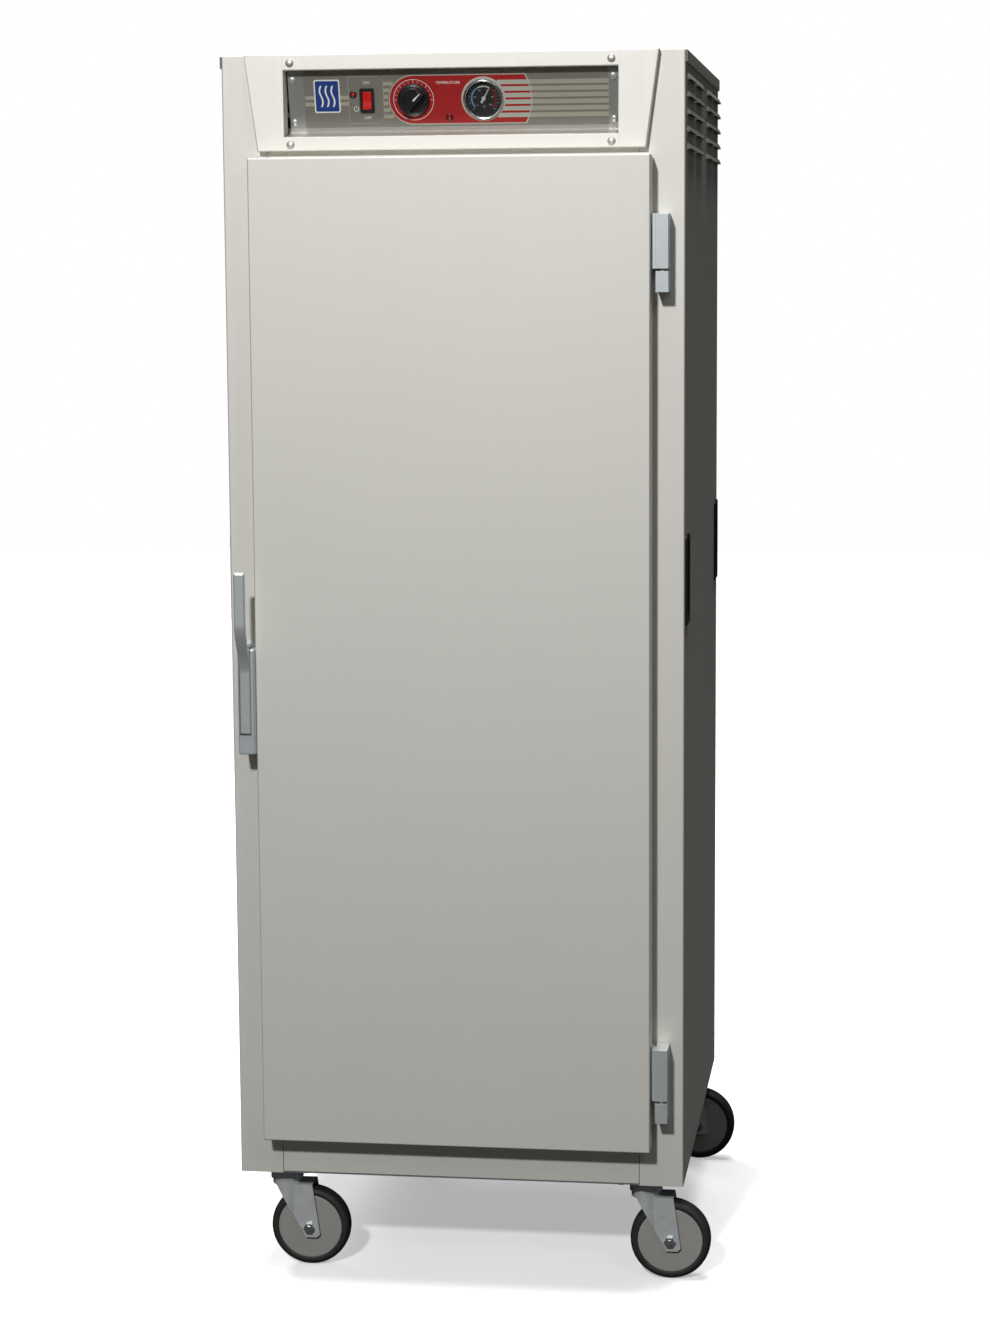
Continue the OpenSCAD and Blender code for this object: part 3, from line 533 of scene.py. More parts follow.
back_fixings()
for node, radius in (("back_panel", 0.5), ("base_chassis", 0.8), ("front_sill", 0.8), ("front_header", 0.5),
                     ("inner_liner", 0.9), ("slide_uprights", 0.7), ("rear_air_duct", 0.8),
                     ("heat_module_tray", 0.6), ("power_inlet", 0.9), ("terminal_block", 0.7),
                     ("blower_motor", 1.5), ("thermostat", 0.8)):
    refine(node, radius)

# ---- fascia ------------------------------------------------------------------------------------------

FASCIA_LOW, FASCIA_HIGH = cab("fascia_frame")
WINDOW_HALF = 252.5
WINDOW_LOW, WINDOW_HIGH = TOP - 122.5, TOP - 23.5
FASCIA_FOOT_HALF = 294


def frame_of(outlines):
    """A closed frame, from outlines of (points, y) that are as long as each other and joined in turn."""
    bm = bmesh.new()
    rings = [[bm.verts.new((x, y, z)) for x, z in points] for points, y in outlines]
    for ring, following in zip(rings, rings[1:] + rings[:1]):
        for i in range(len(ring)):
            j = (i + 1) % len(ring)
            bm.faces.new((ring[i], ring[j], following[j], following[i]))
    return bm


def fascia():
    """A folded frame with a round edge, and a sleeve that lines its window."""
    lo, hi = FASCIA_LOW, FASCIA_HIGH
    round_edge, window_edge, steps = 2.2, 1.2, 4

    def trapezoid(inset):
        foot, head = FASCIA_FOOT_HALF - inset, hi.x - inset
        return [(-foot, lo.z + inset), (foot, lo.z + inset), (head, hi.z - inset), (-head, hi.z - inset)]

    def window(grow):
        x, z0, z1 = WINDOW_HALF + grow, WINDOW_LOW - grow, WINDOW_HIGH + grow
        return [(-x, z0), (x, z0), (x, z1), (-x, z1)]

    turns = [math.pi / 2 * k / steps for k in range(steps + 1)]
    outer = [(trapezoid(round_edge * (1 - math.cos(t))), lo.y + round_edge * (1 - math.sin(t)))
             for t in turns]
    inner = [(window(window_edge * (1 - math.sin(t))), lo.y + window_edge * (1 - math.cos(t)))
             for t in turns]
    wall = 1.2
    back = [(window(0), hi.y), (window(wall), hi.y), (window(wall), lo.y + SHEET),
            (trapezoid(SHEET), lo.y + SHEET), (trapezoid(SHEET), 0), (trapezoid(0), 0)]
    face = mesh_object("fascia_shell", frame_of(outer + inner + back))
    bm = bmesh.new()
    seam = 0.35
    for side in (-1, 1):
        x = side * (WINDOW_HALF + window_edge + 0.5)
        for z0, z1 in ((lo.z - 1, WINDOW_LOW), (WINDOW_HIGH, hi.z + 1)):
            block(bm, (x - seam, lo.y - 1, z0), (x + seam, lo.y + 0.9, z1))
    carve(face, bm)
    # the fascia wears the lighter copy of the stainless finish, a painted highlight
    place(face, "cabinet", "fascia_steel_painted_light", "fascia_frame", sharp=30)


def dome(radius, height, rim=0.5):
    """Profile of a domed fastener's head."""
    steps = 7
    curve = [(radius * math.sin(math.pi / 2 * i / steps),
              rim + (height - rim) * math.cos(math.pi / 2 * i / steps))
             for i in range(steps + 1)]
    return curve + [(radius, 0), (radius, -0.3), (0, -0.3)]


def fasteners():
    bm = bmesh.new()
    for x in (-242.5, 242.5):
        for z in (TOP - 13, TOP - 134):
            lathe(bm, dome(6.25, 3.2), facing(x, FASCIA_LOW.y, z, (0, -1, 0)))
    for x in (-243, 243):
        for z in (-32, 32):
            lathe(bm, dome(5.5, 3), on_panel(x, z))
    place(mesh_object("fascia_rivets", bm, 50), "cabinet", "bright_fastener", "fascia_rivets_screws")


fascia()
fasteners()

# ---- control panel -------------------------------------------------------------------------------------

PANEL_HALF = 250
PANEL_FOOT, PANEL_HEAD = -42, 45
BRACKET = 24                                      # width of the bare metal at each end
RED_TOP = 36
GAUGE_RING = 33.5
KNOB_FIELD = 34.5
STRIPE, STRIPE_PITCH, STRIPES = 6.7, 9.9, 6
LAMPS = ((-151, 9), (-5.6, -27))


def panel_openings(bm):
    """The holes for the knob's stem, the gauge, the two lamps and the switch."""
    for x, z, radius in ((KNOB_X, 0, 4), (GAUGE_X, 0, 27), (*LAMPS[0], 4), (*LAMPS[1], 4)):
        prism(bm, arc(x, z, radius, 0, 350, 35), -5, 5, where=PANEL)
    prism(bm, [(SWITCH_X - 9.5, -16.5), (SWITCH_X + 9.5, -16.5), (SWITCH_X + 9.5, 16.5),
               (SWITCH_X - 9.5, 16.5)],
          -5, 5, where=PANEL)


def panel_plate():
    bm = bmesh.new()
    prism(bm, [(-PANEL_HALF, PANEL_FOOT), (PANEL_HALF, PANEL_FOOT), (PANEL_HALF, PANEL_HEAD),
               (-PANEL_HALF, PANEL_HEAD)],
          0, 2, where=PANEL)
    plate = mesh_object("control_panel_plate", bm)
    bm = bmesh.new()
    panel_openings(bm)
    carve(plate, bm)
    # the plate's dark colour is painted shade, not the steel's own tone
    place(plate, "cabinet", "end_plate_painted_shade", "control_panel")


def panel_ledge():
    """The bright shelf under the panel, which rolls up into the panel's foot."""
    foot = PANEL @ Vector((0, 0, PANEL_FOOT))
    sill = cab("control_panel")[0].z
    rise = foot.z - sill
    run = foot.y + 11.8
    top = [(-11.8, sill + 0.4), (-11.8 + run * 0.55, sill + rise * 0.42)]
    top += [(-11.8 + run * (0.62 + 0.38 * s), sill + rise * (0.47 + 0.60 * s * s))
            for s in (0, 0.25, 0.5, 0.75, 1)]
    outline = top + [(foot.y + 1.6, sill + rise), (foot.y + 1.6, sill + 0.1), (-11.8, sill + 0.1)]
    bm = bmesh.new()
    prism(bm, outline, -PANEL_HALF, PANEL_HALF, "x")
    place(mesh_object("control_panel_ledge", bm, 25), "cabinet", "polished")


def decal(name, slot, draw, height, pierced=False):
    """A printed layer on the overlay: draw fills a bmesh in the panel's frame."""
    bm = bmesh.new()
    draw(bm, height)
    bm.transform(PANEL)
    layer = mesh_object(name, bm)
    if pierced:
        bm = bmesh.new()
        panel_openings(bm)
        carve(layer, bm)
    place(layer, "cabinet", slot)


def overlay_sheet(bm, height):
    inner = PANEL_HALF - BRACKET
    sheet = rounded(-inner, PANEL_FOOT + 1.5, inner + 9, PANEL_HEAD, 1.5)
    prism(bm, sheet, -height, 0)


def field_end(z):
    """Right end of the red field at a height up the panel: a shallow bulge."""
    return 119 - 9 * (abs(z) / RED_TOP) ** 2


def red_field_outline(grow):
    top = RED_TOP + grow
    right = [(field_end(z / top * RED_TOP) + grow, z) for z in [top * (k / 6 - 1) for k in range(13)]]
    left = arc(KNOB_X, 0, KNOB_FIELD + 2 + grow, 90, 270, 20)
    left = [(x, z * top / (KNOB_FIELD + 2 + grow)) for x, z in left]
    return right + left


def pale_outline(bm, height):
    prism(bm, red_field_outline(1.6), -height, 0)


def gauge_surround(bm, height):
    band(bm, arc(GAUGE_X, 0, 27, 0, 355, 71), arc(GAUGE_X, 0, GAUGE_RING, 0, 355, 71), -height, 0)


def red_field(bm, height):
    prism(bm, red_field_outline(0), -height, 0)


def stripe_heights():
    return [(k - (STRIPES - 1) / 2) * STRIPE_PITCH for k in range(STRIPES)]


def stripes(bm, height):
    """Beige bars: six right of the gauge, short ones left of the knob, two beside the emblem."""
    for z in stripe_heights():
        start = GAUGE_X + math.sqrt(max(0, (GAUGE_RING - 1) ** 2 - z * z))
        lo, hi = z - STRIPE / 2, z + STRIPE / 2
        prism(bm, [(start, lo), (PANEL_HALF - 14, lo), (PANEL_HALF - 14, hi), (start, hi)], -height, 0)
        knob_edge = KNOB_X - math.sqrt(max(0, (KNOB_FIELD + 5) ** 2 - z * z))
        prism(bm, [(-105, lo + 0.6), (knob_edge, lo + 0.6), (knob_edge, hi - 0.6), (-105, hi - 0.6)],
              -height, 0)
    for z in (-4.8, 4.8):
        prism(bm, [(-225, z - 2.8), (-158, z - 2.8), (-158, z + 2.8), (-225, z + 2.8)], -height, 0)


def switch_outline(bm, height):
    left, right, low, high, cut = -158, -105, -34, 36, 9
    def line(grow):
        return (arc(left + 3, low + 3, 3 + grow, 180, 270, 4) + [(right - cut, low - grow),
                                                                 (right + grow, low + cut)]
                + [(right + grow, high - cut), (right - cut, high + grow)] + arc(left + 3, high - 3,
                                                                                 3 + grow, 90, 180, 4))
    band(bm, line(0), line(0.7), -height, 0)


def ring_of(bm, x, z, inner, outer, start, end, height, steps=40):
    band(bm, arc(x, z, inner, start, end, steps), arc(x, z, outer, start, end, steps), -height, 0,
         closed=end - start >= 360)


def bar(bm, x0, z0, x1, z1, width, height):
    """A straight printed line."""
    dx, dz = x1 - x0, z1 - z0
    length = math.hypot(dx, dz)
    ox, oz = -dz / length * width / 2, dx / length * width / 2
    prism(bm, [(x0 - ox, z0 - oz), (x1 - ox, z1 - oz), (x1 + ox, z1 + oz), (x0 + ox, z0 + oz)], -height,
          0)


def white_print(bm, height):
    """Knob scale, power symbol and the generic words of the panel."""
    ring_of(bm, KNOB_X, 0, 30.2, 30.9, -89, 269, height, 60)
    for k in range(13):
        a = math.radians(180 - 15 * k)
        inner, outer = 26.0, 29.2 if k % 3 == 0 else 27.8
        bar(bm, KNOB_X + inner * math.cos(a), inner * math.sin(a),
            KNOB_X + outer * math.cos(a), outer * math.sin(a), 0.7, height)
    symbol = (-147, -12.5)
    ring_of(bm, *symbol, 3.1, 4.0, -235, 55, height, 24)
    bar(bm, symbol[0], symbol[1] + 1, symbol[0], symbol[1] + 4.6, 0.9, height)
    for words, size, x, z in (("ON", 6.2, SWITCH_X, 26.5), ("OFF", 6.2, SWITCH_X, -26.5),
                              ("TEMPERATURE", 5.6, -6, 25)):
        lettering(bm, words, size,
                  Matrix.Translation((x, -height, z)) @ Matrix.Rotation(math.pi / 2, 4, "X"))


EMBLEM = (-191, 7)
EMBLEM_HALF = (19.8, 25)


def emblem_base(bm, height):
    x, z = EMBLEM
    hx, hz = EMBLEM_HALF
    prism(bm, rounded(x - hx, z - hz, x + hx, z + hz, 3), -height, 0)


def emblem_field(bm, height):
    x, z = EMBLEM
    hx, hz = EMBLEM_HALF
    prism(bm, rounded(x - hx + 2, z - hz + 2, x + hx - 2, z + hz - 2, 2), -height, 0)


def emblem_waves(bm, height):
    """Three rising waves of warm air."""
    x, z = EMBLEM
    steps = 20
    for shift in (-9, 0, 9):
        mids = [(x + shift + 2.2 * math.sin(2 * math.pi * k / steps), z - 16 + 32 * k / steps)
                for k in range(steps + 1)]
        left = [(a - 1.3, b) for a, b in mids]
        right = [(a + 1.3, b) for a, b in mids]
        band(bm, left, right, -height, 0, closed=False)


panel_plate()
panel_ledge()
for name, slot, draw, height in (
        ("overlay_sheet", "panel_grey", overlay_sheet, 0.20),
        ("overlay_stripes", "ink_beige", stripes, 0.30),
        ("overlay_outline", "ink_pale", pale_outline, 0.36),
        ("overlay_red_field", "ink_red", red_field, 0.42),
        ("overlay_gauge_surround", "ink_pale", gauge_surround, 0.46),
        ("overlay_switch_outline", "ink_beige", switch_outline, 0.36),
        ("overlay_white_print", "needle_white", white_print, 0.56),
        ("emblem_base", "needle_white", emblem_base, 0.36),
        ("emblem_field", "ink_blue", emblem_field, 0.44),
        ("emblem_waves", "needle_white", emblem_waves, 0.52)):
    decal(name, slot, draw, height, pierced=draw in (overlay_sheet, pale_outline, red_field))


def pale_stripes(bm, height):
    """The stretch of the stripes that crosses the red field."""
    for z in stripe_heights():
        start = GAUGE_X + math.sqrt(max(0, (GAUGE_RING - 1) ** 2 - z * z))
        lo, hi = z - STRIPE / 2, z + STRIPE / 2
        prism(bm, [(start, lo), (field_end(z) + 3, lo), (field_end(z) + 3, hi), (start, hi)], -height, 0)


decal("overlay_pale_stripes", "ink_pale", pale_stripes, 0.48)


def knob():
    bm = bmesh.new()
    skirt = [(0, 0.6), (23.6, 0.6), (24.5, 1.4), (24.5, 3.4), (24.1, 4.4), (23.2, 5.0), (20.8, 5.4),
             (20.0, 6.2),
             (19.4, 8.4), (18.6, 9.2), (17.4, 9.5), (0, 9.5)]
    lathe(bm, skirt, on_panel(KNOB_X, 0), 72)
    body = mesh_object("temperature_knob_body", bm)
    bm = bmesh.new()
    turn = on_panel(KNOB_X, 0, -45)
    side = [(-20.3, 4.5), (20.3, 4.5), (20.3, 17.5), (18.6, 20.2), (15.0, 21.0), (-15.0, 21.0),
            (-18.6, 20.2), (-20.3, 17.5)]
    prism(bm, side, -5.8, 5.8, "x", turn)
    grip = soften(mesh_object("temperature_knob_grip", bm), 1.4, 3)
    bm = bmesh.new()
    for part in (body, grip):
        bm.from_mesh(part.data)
        bpy.data.objects.remove(part)
    bm.transform(TO_CABINET)
    place(mesh_object("temperature_knob_moulded", bm, 40), "thermostat_dial", "knob_black",
          "temperature_knob")
    bm = bmesh.new()
    prism(bm, [(-1.5, 3), (1.5, 3), (0.5, 18.5), (-0.5, 18.5)], 20.6, 21.15, "z", turn)
    place(mesh_object("temperature_knob_pointer", bm), "thermostat_dial", "needle_white")


def gauge():
    bm = bmesh.new()
    bezel = [(25.9, 0), (30.2, 0), (30.5, 0.6), (30.5, 3.0), (30.1, 4.3), (29.2, 5.4), (28.2, 5.9),
             (27.2, 5.9),
             (26.6, 5.4), (26.1, 4.4), (25.9, 2.0), (25.9, 0)]
    lathe(bm, bezel, on_panel(GAUGE_X, 0), 96)
    lathe(bm, [(0, -28), (25.6, -28), (26.8, -26.8), (26.8, 0), (25.95, 0), (25.95, -25), (0, -25)],
          on_panel(GAUGE_X, 0), 96)
    place(mesh_object("gauge_bezel", bm), "cabinet", "gauge_chrome", "gauge_case")
    bm = bmesh.new()
    lathe(bm, [(1.1, -4), (25.85, -4), (25.85, -2.6), (1.1, -2.6), (1.1, -4)], on_panel(GAUGE_X, 0), 72)
    place(mesh_object("gauge_face", bm), "cabinet", "dial_black", "gauge_dial")
    face = Matrix.Translation((GAUGE_X, 0, 0))

    def printed(name, slot, draw):
        sheet = bmesh.new()
        draw(sheet)
        sheet.transform(PANEL @ Matrix.Translation((0, 2.6, 0)))
        place(mesh_object(name, sheet), "cabinet", slot)

    def scale(sheet):
        for k in range(21):
            a = math.radians(225 - 13.5 * k)
            inner, outer = 20.6, 23.6 if k % 2 == 0 else 22.2
            bar(sheet, GAUGE_X + inner * math.cos(a), inner * math.sin(a),
                GAUGE_X + outer * math.cos(a), outer * math.sin(a), 0.45, 0.12)
        for k in range(6):
            a = math.radians(225 - 54 * k)
            spot = Matrix.Translation((13.6 * math.cos(a), -0.08,
                                       13.6 * math.sin(a))) @ Matrix.Rotation(math.pi / 2, 4, "X")
            lettering(sheet, str(20 * k), 3.2, face @ spot)
        lettering(sheet, "°C", 4.2,
                  face @ Matrix.Translation((0, -0.08, -12.5)) @ Matrix.Rotation(math.pi / 2, 4, "X"))
        ring_of(sheet, GAUGE_X, 0, 17.2, 19.2, 62, 118, 0.1, 20)

    def arc_band(start, end):
        return lambda sheet: ring_of(sheet, GAUGE_X, 0, 17.2, 19.2, start, end, 0.1, 30)

    printed("gauge_scale", "needle_white", scale)
    printed("gauge_cold_band", "ink_sky", arc_band(120, 225))
    printed("gauge_hot_band", "ink_red", arc_band(-45, 60))
    bm = bmesh.new()
    lathe(bm, [(0, -3.4), (1.0, -3.4), (1.0, -1.4), (3.1, -1.3), (3.1, -0.9), (2.4, -0.5), (0, -0.5)],
          on_panel(GAUGE_X, 0), 32)
    pointer = [(-0.35, 19), (-1.1, 2), (-1.9, -7.5), (1.9, -7.5), (1.1, 2), (0.35, 19)]
    prism(bm, pointer, -1.5, -0.9, "z", on_panel(GAUGE_X, 0, -30))
    place(mesh_object("gauge_pointer", bm), "thermometer_needle", "needle_white", "gauge_needle")
    bm = bmesh.new()
    lens = [(0, 2.2), (25.85, 2.2), (25.85, 3.2), (22, 3.5), (14, 3.75), (0, 3.8)]
    lathe(bm, lens, on_panel(GAUGE_X, 0), 72)
    place(mesh_object("gauge_glass_disc", bm), "cabinet", "gauge_glass", "gauge_lens")


def switch():
    bm = bmesh.new()
    inner = rounded(SWITCH_X - 7.5, -14.5, SWITCH_X + 7.5, 14.5, 0.8, 3)
    rim = rounded(SWITCH_X - 11, -18.5, SWITCH_X + 11, 18.5, 2.5, 3)
    wall = rounded(SWITCH_X - 9.3, -16.3, SWITCH_X + 9.3, 16.3, 1.2, 3)
    band(bm, inner, rim, -2.5, 0, PANEL)
    frame_piece = soften(mesh_object("switch_bezel", bm), 0.8, 3)
    place(frame_piece, "cabinet", "black_plastic", "rocker_bezel")
    bm = bmesh.new()
    band(bm, inner, wall, -1, 22, PANEL)
    prism(bm, wall, 20, 22, where=PANEL)
    place(mesh_object("switch_housing", bm), "cabinet", "black_plastic")
    bm = bmesh.new()
    pivot_depth = 3
    press = [(13.2, 4.0), (9, 4.3), (5, 4.5), (1, 4.4), (0, 4.3), (-1, 4.45), (-5, 5.4), (-9, 6.4),
             (-13.2, 7.2)]
    outline = [(-out_by + pivot_depth, z) for z, out_by in press] + [(pivot_depth + 3, -11),
                                                                     (pivot_depth + 7, 0),
                                                                     (pivot_depth + 3, 11)]
    prism(bm, outline, SWITCH_X - 6.9, SWITCH_X + 6.9, "x", PANEL)
    rocker = soften(mesh_object("switch_rocker", bm), 0.7, 3, 40)
    place(rocker, "rocker_switch", "switch_red", "rocker")


def lamps():
    bm = bmesh.new()
    lens = bmesh.new()
    for x, z in LAMPS:
        lathe(bm, [(3.7, 0.4), (3.9, 1.4), (4.6, 1.9), (5.2, 1.6), (5.5, 0.8), (5.5, 0), (3.9, -0.2),
                   (3.9, -13), (0, -13),
                   (0, -12), (3.6, -12), (3.7, 0.4)], on_panel(x, z), 40)
        lathe(lens, [(0, 3.2), (1.6, 3.0), (2.8, 2.3), (3.5, 1.2), (3.6, 0.2), (3.6, -4), (0, -4)],
              on_panel(x, z), 40)
    place(mesh_object("lamp_rims", bm), "cabinet", "black_plastic", "indicator_lamps")
    place(mesh_object("lamp_lenses", lens), "cabinet", "lamp_red")


knob()
gauge()
switch()
lamps()

# ---- door ----------------------------------------------------------------------------------------------


def door():
    lo, hi = cab("door_skin")
    rim = 26
    bm = bmesh.new()
    block(bm, lo, hi)
    shell = soften(mesh_object("door_shell", bm), 2.4, 4)
    bm = bmesh.new()
    block(bm, (lo.x + 1.2, lo.y + 1.2, lo.z + 1.2), (hi.x - 1.2, hi.y - 1.2, hi.z - 1.2))
    carve(shell, bm)
    bm = bmesh.new()
    block(bm, (lo.x + rim, hi.y - 3, lo.z + rim), (hi.x - rim, hi.y + 3, hi.z - rim))
    carve(shell, bm)
    place(shell, "door", "stainless", "door_skin")
    back = cab("door_liner")[1].y
    edge, rise = 60, 4
    bm = bmesh.new()
    rings = []
    for inset, y in ((1.3, back), (edge, back), (edge + 4, back + 1), (edge + 8, back + rise - 1),
                     (edge + 12, back + rise)):
        line = rounded(lo.x + inset, lo.z + inset, hi.x - inset, hi.z - inset, max(2, inset / 3), 6)
        rings.append([bm.verts.new((x, y, z)) for x, z in line])
    for a, b in zip(rings, rings[1:]):
        for i in range(len(a)):
            j = (i + 1) % len(a)
            bm.faces.new((a[i], a[j], b[j], b[i]))
    bm.faces.new(rings[-1])
    pan = mesh_object("door_inner_pan", bm, 50)
    sheet = pan.modifiers.new("sheet", "SOLIDIFY")
    sheet.thickness = 0.8 * MM
    sheet.offset = -1
    settle(pan)
    place(pan, "door", "liner_steel", "door_liner")
    lo, hi = cab("door_gasket")
    bm = bmesh.new()
    wide = 13
    outer = rounded(lo.x, lo.z, hi.x, hi.z, 2, 4)
    inner = rounded(lo.x + wide, lo.z + wide, hi.x - wide, hi.z - wide, 2, 4)
    band(bm, inner, outer, lo.y, hi.y)
    place(soften(mesh_object("door_gasket_strip", bm), 2.6, 4, 50), "door", "gasket_grey", "door_gasket")


door()

# ---- hinges, latch, grips --------------------------------------------------------------------------------

refine("hinge_blocks", 1.5, 3)
refine("hinge_leaves", 1.2, 3)
refine("latch_strike", 0.8)


def latch():
    lo, hi = cab("latch_body")
    bm = bmesh.new()
    block(bm, lo, hi)
    body = soften(mesh_object("latch_case", bm), 2.6, 4)
    lever_lo, lever_hi = cab("latch_lever")
    bm = bmesh.new()
    block(bm, (lever_lo.x - 0.5, lo.y - 1, lever_lo.z - 1.7), (lever_hi.x + 0.5, -12, hi.z + 1))
    carve(body, bm)
    place(body, "door", "cast_zinc", "latch_body")
    thick = 9
    seated, swept = lo.y + thick / 2 - 1, lever_lo.y + thick / 2
    bend_low, bend_high = lo.z + 126, lo.z + 204
    steps = 24

    def middle(z):
        u = min(1.0, max(0.0, (z - bend_low) / (bend_high - bend_low)))
        return seated + (swept - seated) * u * u * (3 - 2 * u)

    heights = [bend_low + (bend_high - bend_low) * i / steps for i in range(steps + 1)]
    foot, tip = lever_lo.z, lever_hi.z
    line = [(middle(foot), foot)] + [(middle(z), z) for z in heights] + [(middle(tip), tip - thick / 2)]
    front, rear = [], []
    for i, (y, z) in enumerate(line):
        a, b = line[max(i - 1, 0)], line[min(i + 1, len(line) - 1)]
        along = Vector((b[0] - a[0], b[1] - a[1])).normalized()
        front.append((y - along.y * thick / 2, z + along.x * thick / 2))
        rear.append((y + along.y * thick / 2, z - along.x * thick / 2))
    cap = arc(line[-1][0], line[-1][1], thick / 2, 180, 0, 8)
    bm = bmesh.new()
    prism(bm, front[:-1] + cap + rear[-2::-1], lever_lo.x, lever_hi.x, "x")
    lever = soften(mesh_object("latch_handle", bm), 2.6, 4, 40)
    pivot = joint_place("latch_pull")
    bm = bmesh.new()
    prism(bm, [(seated, pivot.z - 8)] + arc(pivot.y, pivot.z, 8, -90, 90, 12) + [(seated, pivot.z + 8)],
          lever_lo.x + 1, lever_hi.x - 1, "x")
    lug = mesh_object("latch_handle_lug", bm)
    bm = bmesh.new()
    for part in (lever, lug):
        bm.from_mesh(part.data)
        bpy.data.objects.remove(part)
    bm.transform(TO_CABINET)
    place(mesh_object("latch_handle_cast", bm, 40), "latch", "cast_zinc", "latch_lever")


def hand_grips():
    """Moulded cups let into the sides, with a slanted floor above and below."""
    bm = bmesh.new()
    lip, deep, slant = 3, 31, 24
    for side in (-1, 1):
        for y0 in GRIP_STARTS:
            y1 = y0 + GRIP_WIDTH
            sections = []
            for inset, x, squeeze in ((0, 0, 0), (0, lip - 0.8, 0), (0.8, lip, 0), (6.4, lip, 0),
                                      (7.0, lip - 0.8, 0),
                                      (7.4, 1, 1), (8.5, -deep + 3, slant - 8), (11, -deep, slant - 5)):
                line = rounded(y0 + inset, GRIP_LOW + inset + squeeze, y1 - inset,
                               GRIP_HIGH - inset - squeeze,
                               max(3, 6 - inset / 3), 5)
                sections.append([bm.verts.new((side * (HALF_W + x), y, z)) for y, z in line])
            for a, b in zip(sections, sections[1:]):
                for i in range(len(a)):
                    j = (i + 1) % len(a)
                    bm.faces.new((a[i], a[j], b[j], b[i]))
            bm.faces.new(sections[-1])
    cups = mesh_object("hand_grip_cups", bm, 50)
    shell = cups.modifiers.new("shell", "SOLIDIFY")
    shell.thickness = 0.6 * MM
    shell.offset = -1
    settle(cups)
    place(cups, "cabinet", "black_plastic", "hand_grips")


latch()
hand_grips()

# ---- casters -----------------------------------------------------------------------------------------------

refine("caster_plates", 0.8)
refine("caster_bolts", 0.5)
for corner in SWIVELS:
    refine("fork_" + corner, 1.0)
    refine("axle_" + corner, 0.6)


def wheel(corner):
    lo, hi = cab("tyre_" + corner)
    centre = (lo + hi) / 2
    radius = (hi.z - lo.z) / 2
    half = (hi.y - lo.y) / 2
    hub_radius = (cab("hub_" + corner)[1].z - cab("hub_" + corner)[0].z) / 2
    boss = (cab("hub_" + corner)[1].y - cab("hub_" + corner)[0].y) / 2
    where = facing(centre.x, centre.y, centre.z, (0, 1, 0))
    crown = [(radius, 0), (radius - 0.15, half * 0.35), (radius - 0.7, half * 0.62),
             (radius - 2.2, half * 0.84),
             (radius - 5.0, half * 0.97), (radius - 8.0, half), (hub_radius + 1.2, half - 0.4),
             (hub_radius, half - 1.4)]
    profile = [(r, -h) for r, h in crown[::-1]] + crown[1:]
    bm = bmesh.new()
    lathe(bm, profile + [profile[0]], where, 96)
    place(mesh_object("tyre_" + corner + "_tread", bm), "wheel_" + corner, "tread_black", "tyre_" + corner)
    bore = 6.1
    face = [(hub_radius, 0), (hub_radius, half - 1.6), (hub_radius - 0.8, half - 1.0),
            (hub_radius - 1.6, half - 0.9),
            (10.2, half - 0.9), (9.8, half - 0.6), (9.8, boss - 0.4), (9.4, boss), (bore, boss)]
    profile = [(r, -h) for r, h in face[::-1]] + face[1:]
    bm = bmesh.new()
    lathe(bm, profile + [profile[0]], where, 72)
    place(mesh_object("hub_" + corner + "_moulded", bm), "wheel_" + corner, "hub_grey", "hub_" + corner)


for corner in SWIVELS:
    wheel(corner)

# ---- stage, lights and camera ----------------------------------------------------------------------------------


def seen_by_camera(tree):
    """1 on what the camera sees directly, 0 in reflections and in bounced light."""
    return tree.nodes.new("ShaderNodeLightPath").outputs["Is Camera Ray"]


def studio_floor():
    """A pale floor with light shadows. Its bounce is weak, so it doesn't light the cabinet from below."""
    bm = bmesh.new()
    reach = 12000
    block(bm, (-reach, -reach, -20), (reach, reach, -0.4))
    floor = mesh_object("studio_floor", bm)
    pale = finish_of("studio_floor", (0.92, 0.92, 0.92), 0.9, grain=(40, 40, 40), variation=0.01,
                     relief=0.0,
                     Emission_Color=(1, 1, 1, 1), Emission_Strength=0.42)
    tree = pale.node_tree
    dull = tree.nodes.new("ShaderNodeBsdfDiffuse")
    dull.inputs["Color"].default_value = (0.04, 0.04, 0.04, 1)
    mix = tree.nodes.new("ShaderNodeMixShader")
    tree.links.new(seen_by_camera(tree), mix.inputs["Fac"])
    tree.links.new(dull.outputs["BSDF"], mix.inputs[1])
    tree.links.new(tree.nodes["Principled BSDF"].outputs["BSDF"], mix.inputs[2])
    tree.links.new(mix.outputs["Shader"], tree.nodes["Material Output"].inputs["Surface"])
    floor.data.materials.append(pale)


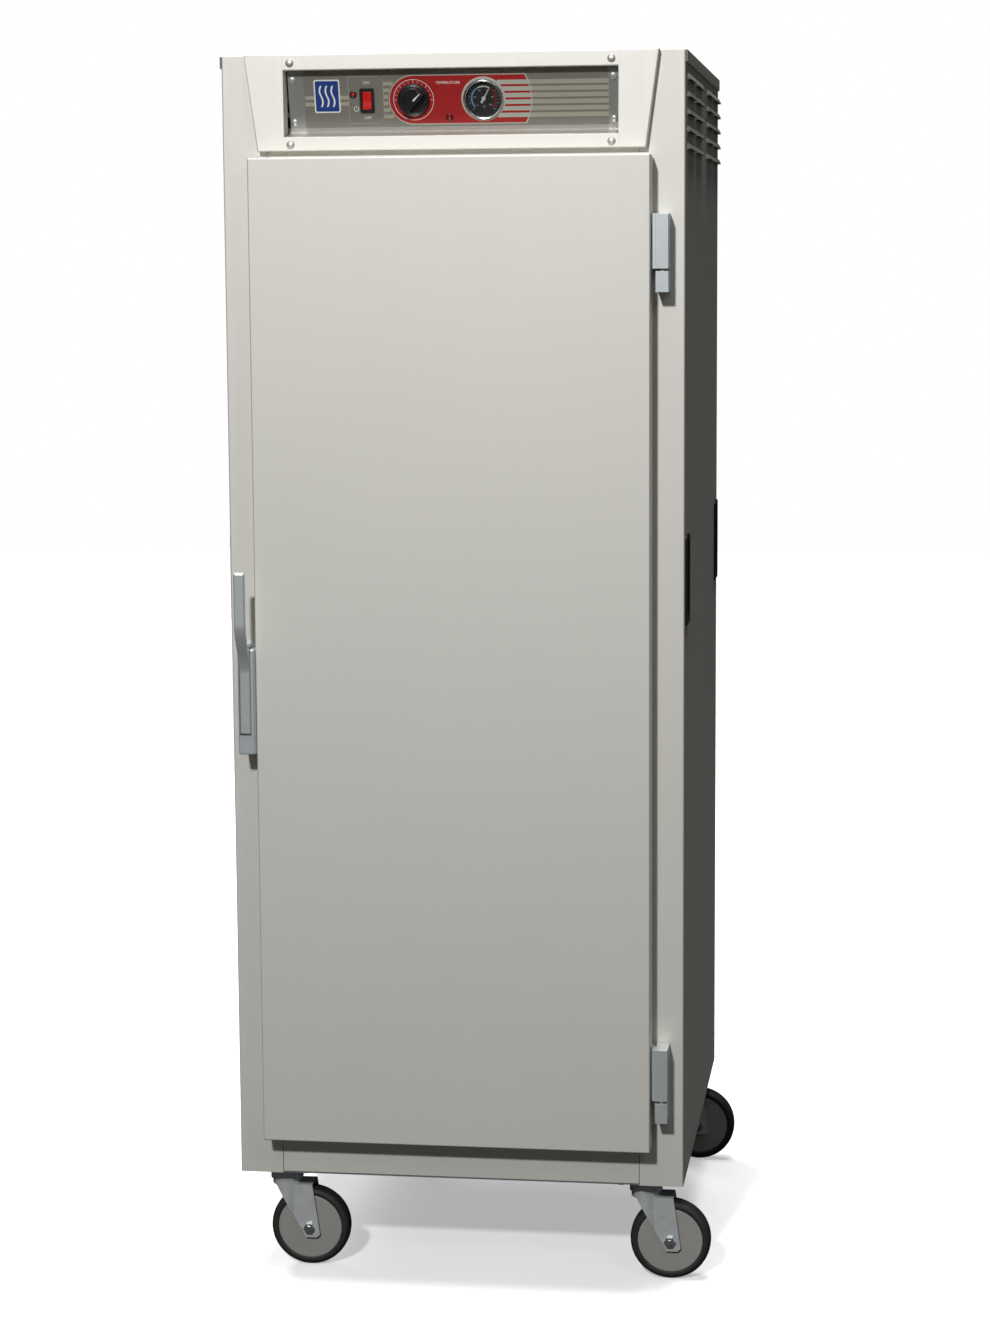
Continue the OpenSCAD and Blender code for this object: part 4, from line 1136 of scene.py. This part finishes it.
def studio_room():
    """White behind the cabinet, and a soft light that is bright in front of it and dark behind it."""
    world = bpy.data.worlds.new("studio")
    bpy.context.scene.world = world
    world.use_nodes = True
    tree = world.node_tree
    backdrop = tree.nodes["Background"]
    backdrop.inputs["Color"].default_value = (1, 1, 1, 1)
    backdrop.inputs["Strength"].default_value = 1.0
    room = tree.nodes.new("ShaderNodeBackground")
    direction = tree.nodes.new("ShaderNodeTexCoord")
    towards = tree.nodes.new("ShaderNodeVectorMath")
    towards.operation = "DOT_PRODUCT"
    towards.inputs[1].default_value = Vector((-0.35, -0.9, 0.25)).normalized()
    falloff = tree.nodes.new("ShaderNodeMapRange")
    falloff.interpolation_type = "SMOOTHSTEP"
    falloff.inputs["From Min"].default_value = -0.2
    falloff.inputs["From Max"].default_value = 0.9
    falloff.inputs["To Min"].default_value = ROOM_BACK
    falloff.inputs["To Max"].default_value = ROOM_FRONT
    tree.links.new(direction.outputs["Generated"], towards.inputs[0])
    tree.links.new(towards.outputs["Value"], falloff.inputs["Value"])
    tree.links.new(falloff.outputs["Result"], room.inputs["Strength"])
    mix = tree.nodes.new("ShaderNodeMixShader")
    tree.links.new(seen_by_camera(tree), mix.inputs["Fac"])
    tree.links.new(room.outputs["Background"], mix.inputs[1])
    tree.links.new(backdrop.outputs["Background"], mix.inputs[2])
    tree.links.new(mix.outputs["Shader"], tree.nodes["World Output"].inputs["Surface"])


def area_light(name, place_at, look_at, size, power):
    data = bpy.data.lights.new(name, "AREA")
    data.shape = "RECTANGLE"
    data.size, data.size_y = size
    data.energy = power
    light = bpy.data.objects.new(name, data)
    bpy.context.scene.collection.objects.link(light)
    light.location = place_at
    light.rotation_euler = (Vector(look_at) - Vector(place_at)).to_track_quat("-Z", "Y").to_euler()


def camera():
    lens, sensor = 80.25, 36                                # millimetres
    aside, away, high = 0.6807, 4.75595, 1.5835             # metres
    turn, tilt, roll = 7.977, 7.601, -0.367                 # degrees
    data = bpy.data.cameras.new("camera")
    data.sensor_width = sensor
    data.lens = lens
    eye = bpy.data.objects.new("camera", data)
    bpy.context.scene.collection.objects.link(eye)
    eye.matrix_world = Matrix.Translation((MIDDLE + aside, -away, high)) \
        @ Matrix.Rotation(math.radians(turn), 4, "Z") \
        @ Matrix.Rotation(math.radians(90 - tilt), 4, "X") \
        @ Matrix.Rotation(math.radians(roll), 4, "Z")
    bpy.context.scene.camera = eye


def ceiling_light(strength):
    """Light from straight above, for the floor."""
    data = bpy.data.lights.new("ceiling", "SUN")
    data.energy = strength
    data.angle = math.radians(24)
    bpy.context.scene.collection.objects.link(bpy.data.objects.new("ceiling", data))


ROOM_FRONT, ROOM_BACK = 0.10, 0.012
studio_floor()
studio_room()
area_light("key", (-0.76, -7.0, 4.7), (0, -0.4, 1.0), (0.4, 0.4), 325)
area_light("fill", (2.7, -4.4, 4.2), (0, -0.4, 1.0), (0.8, 0.8), 18)
area_light("rear", (-2.4, 3.4, 2.6), (0, 0, 1.0), (1.6, 1.6), 110)
ceiling_light(2.4)
camera()
bpy.context.scene.view_settings.view_transform = "Standard"
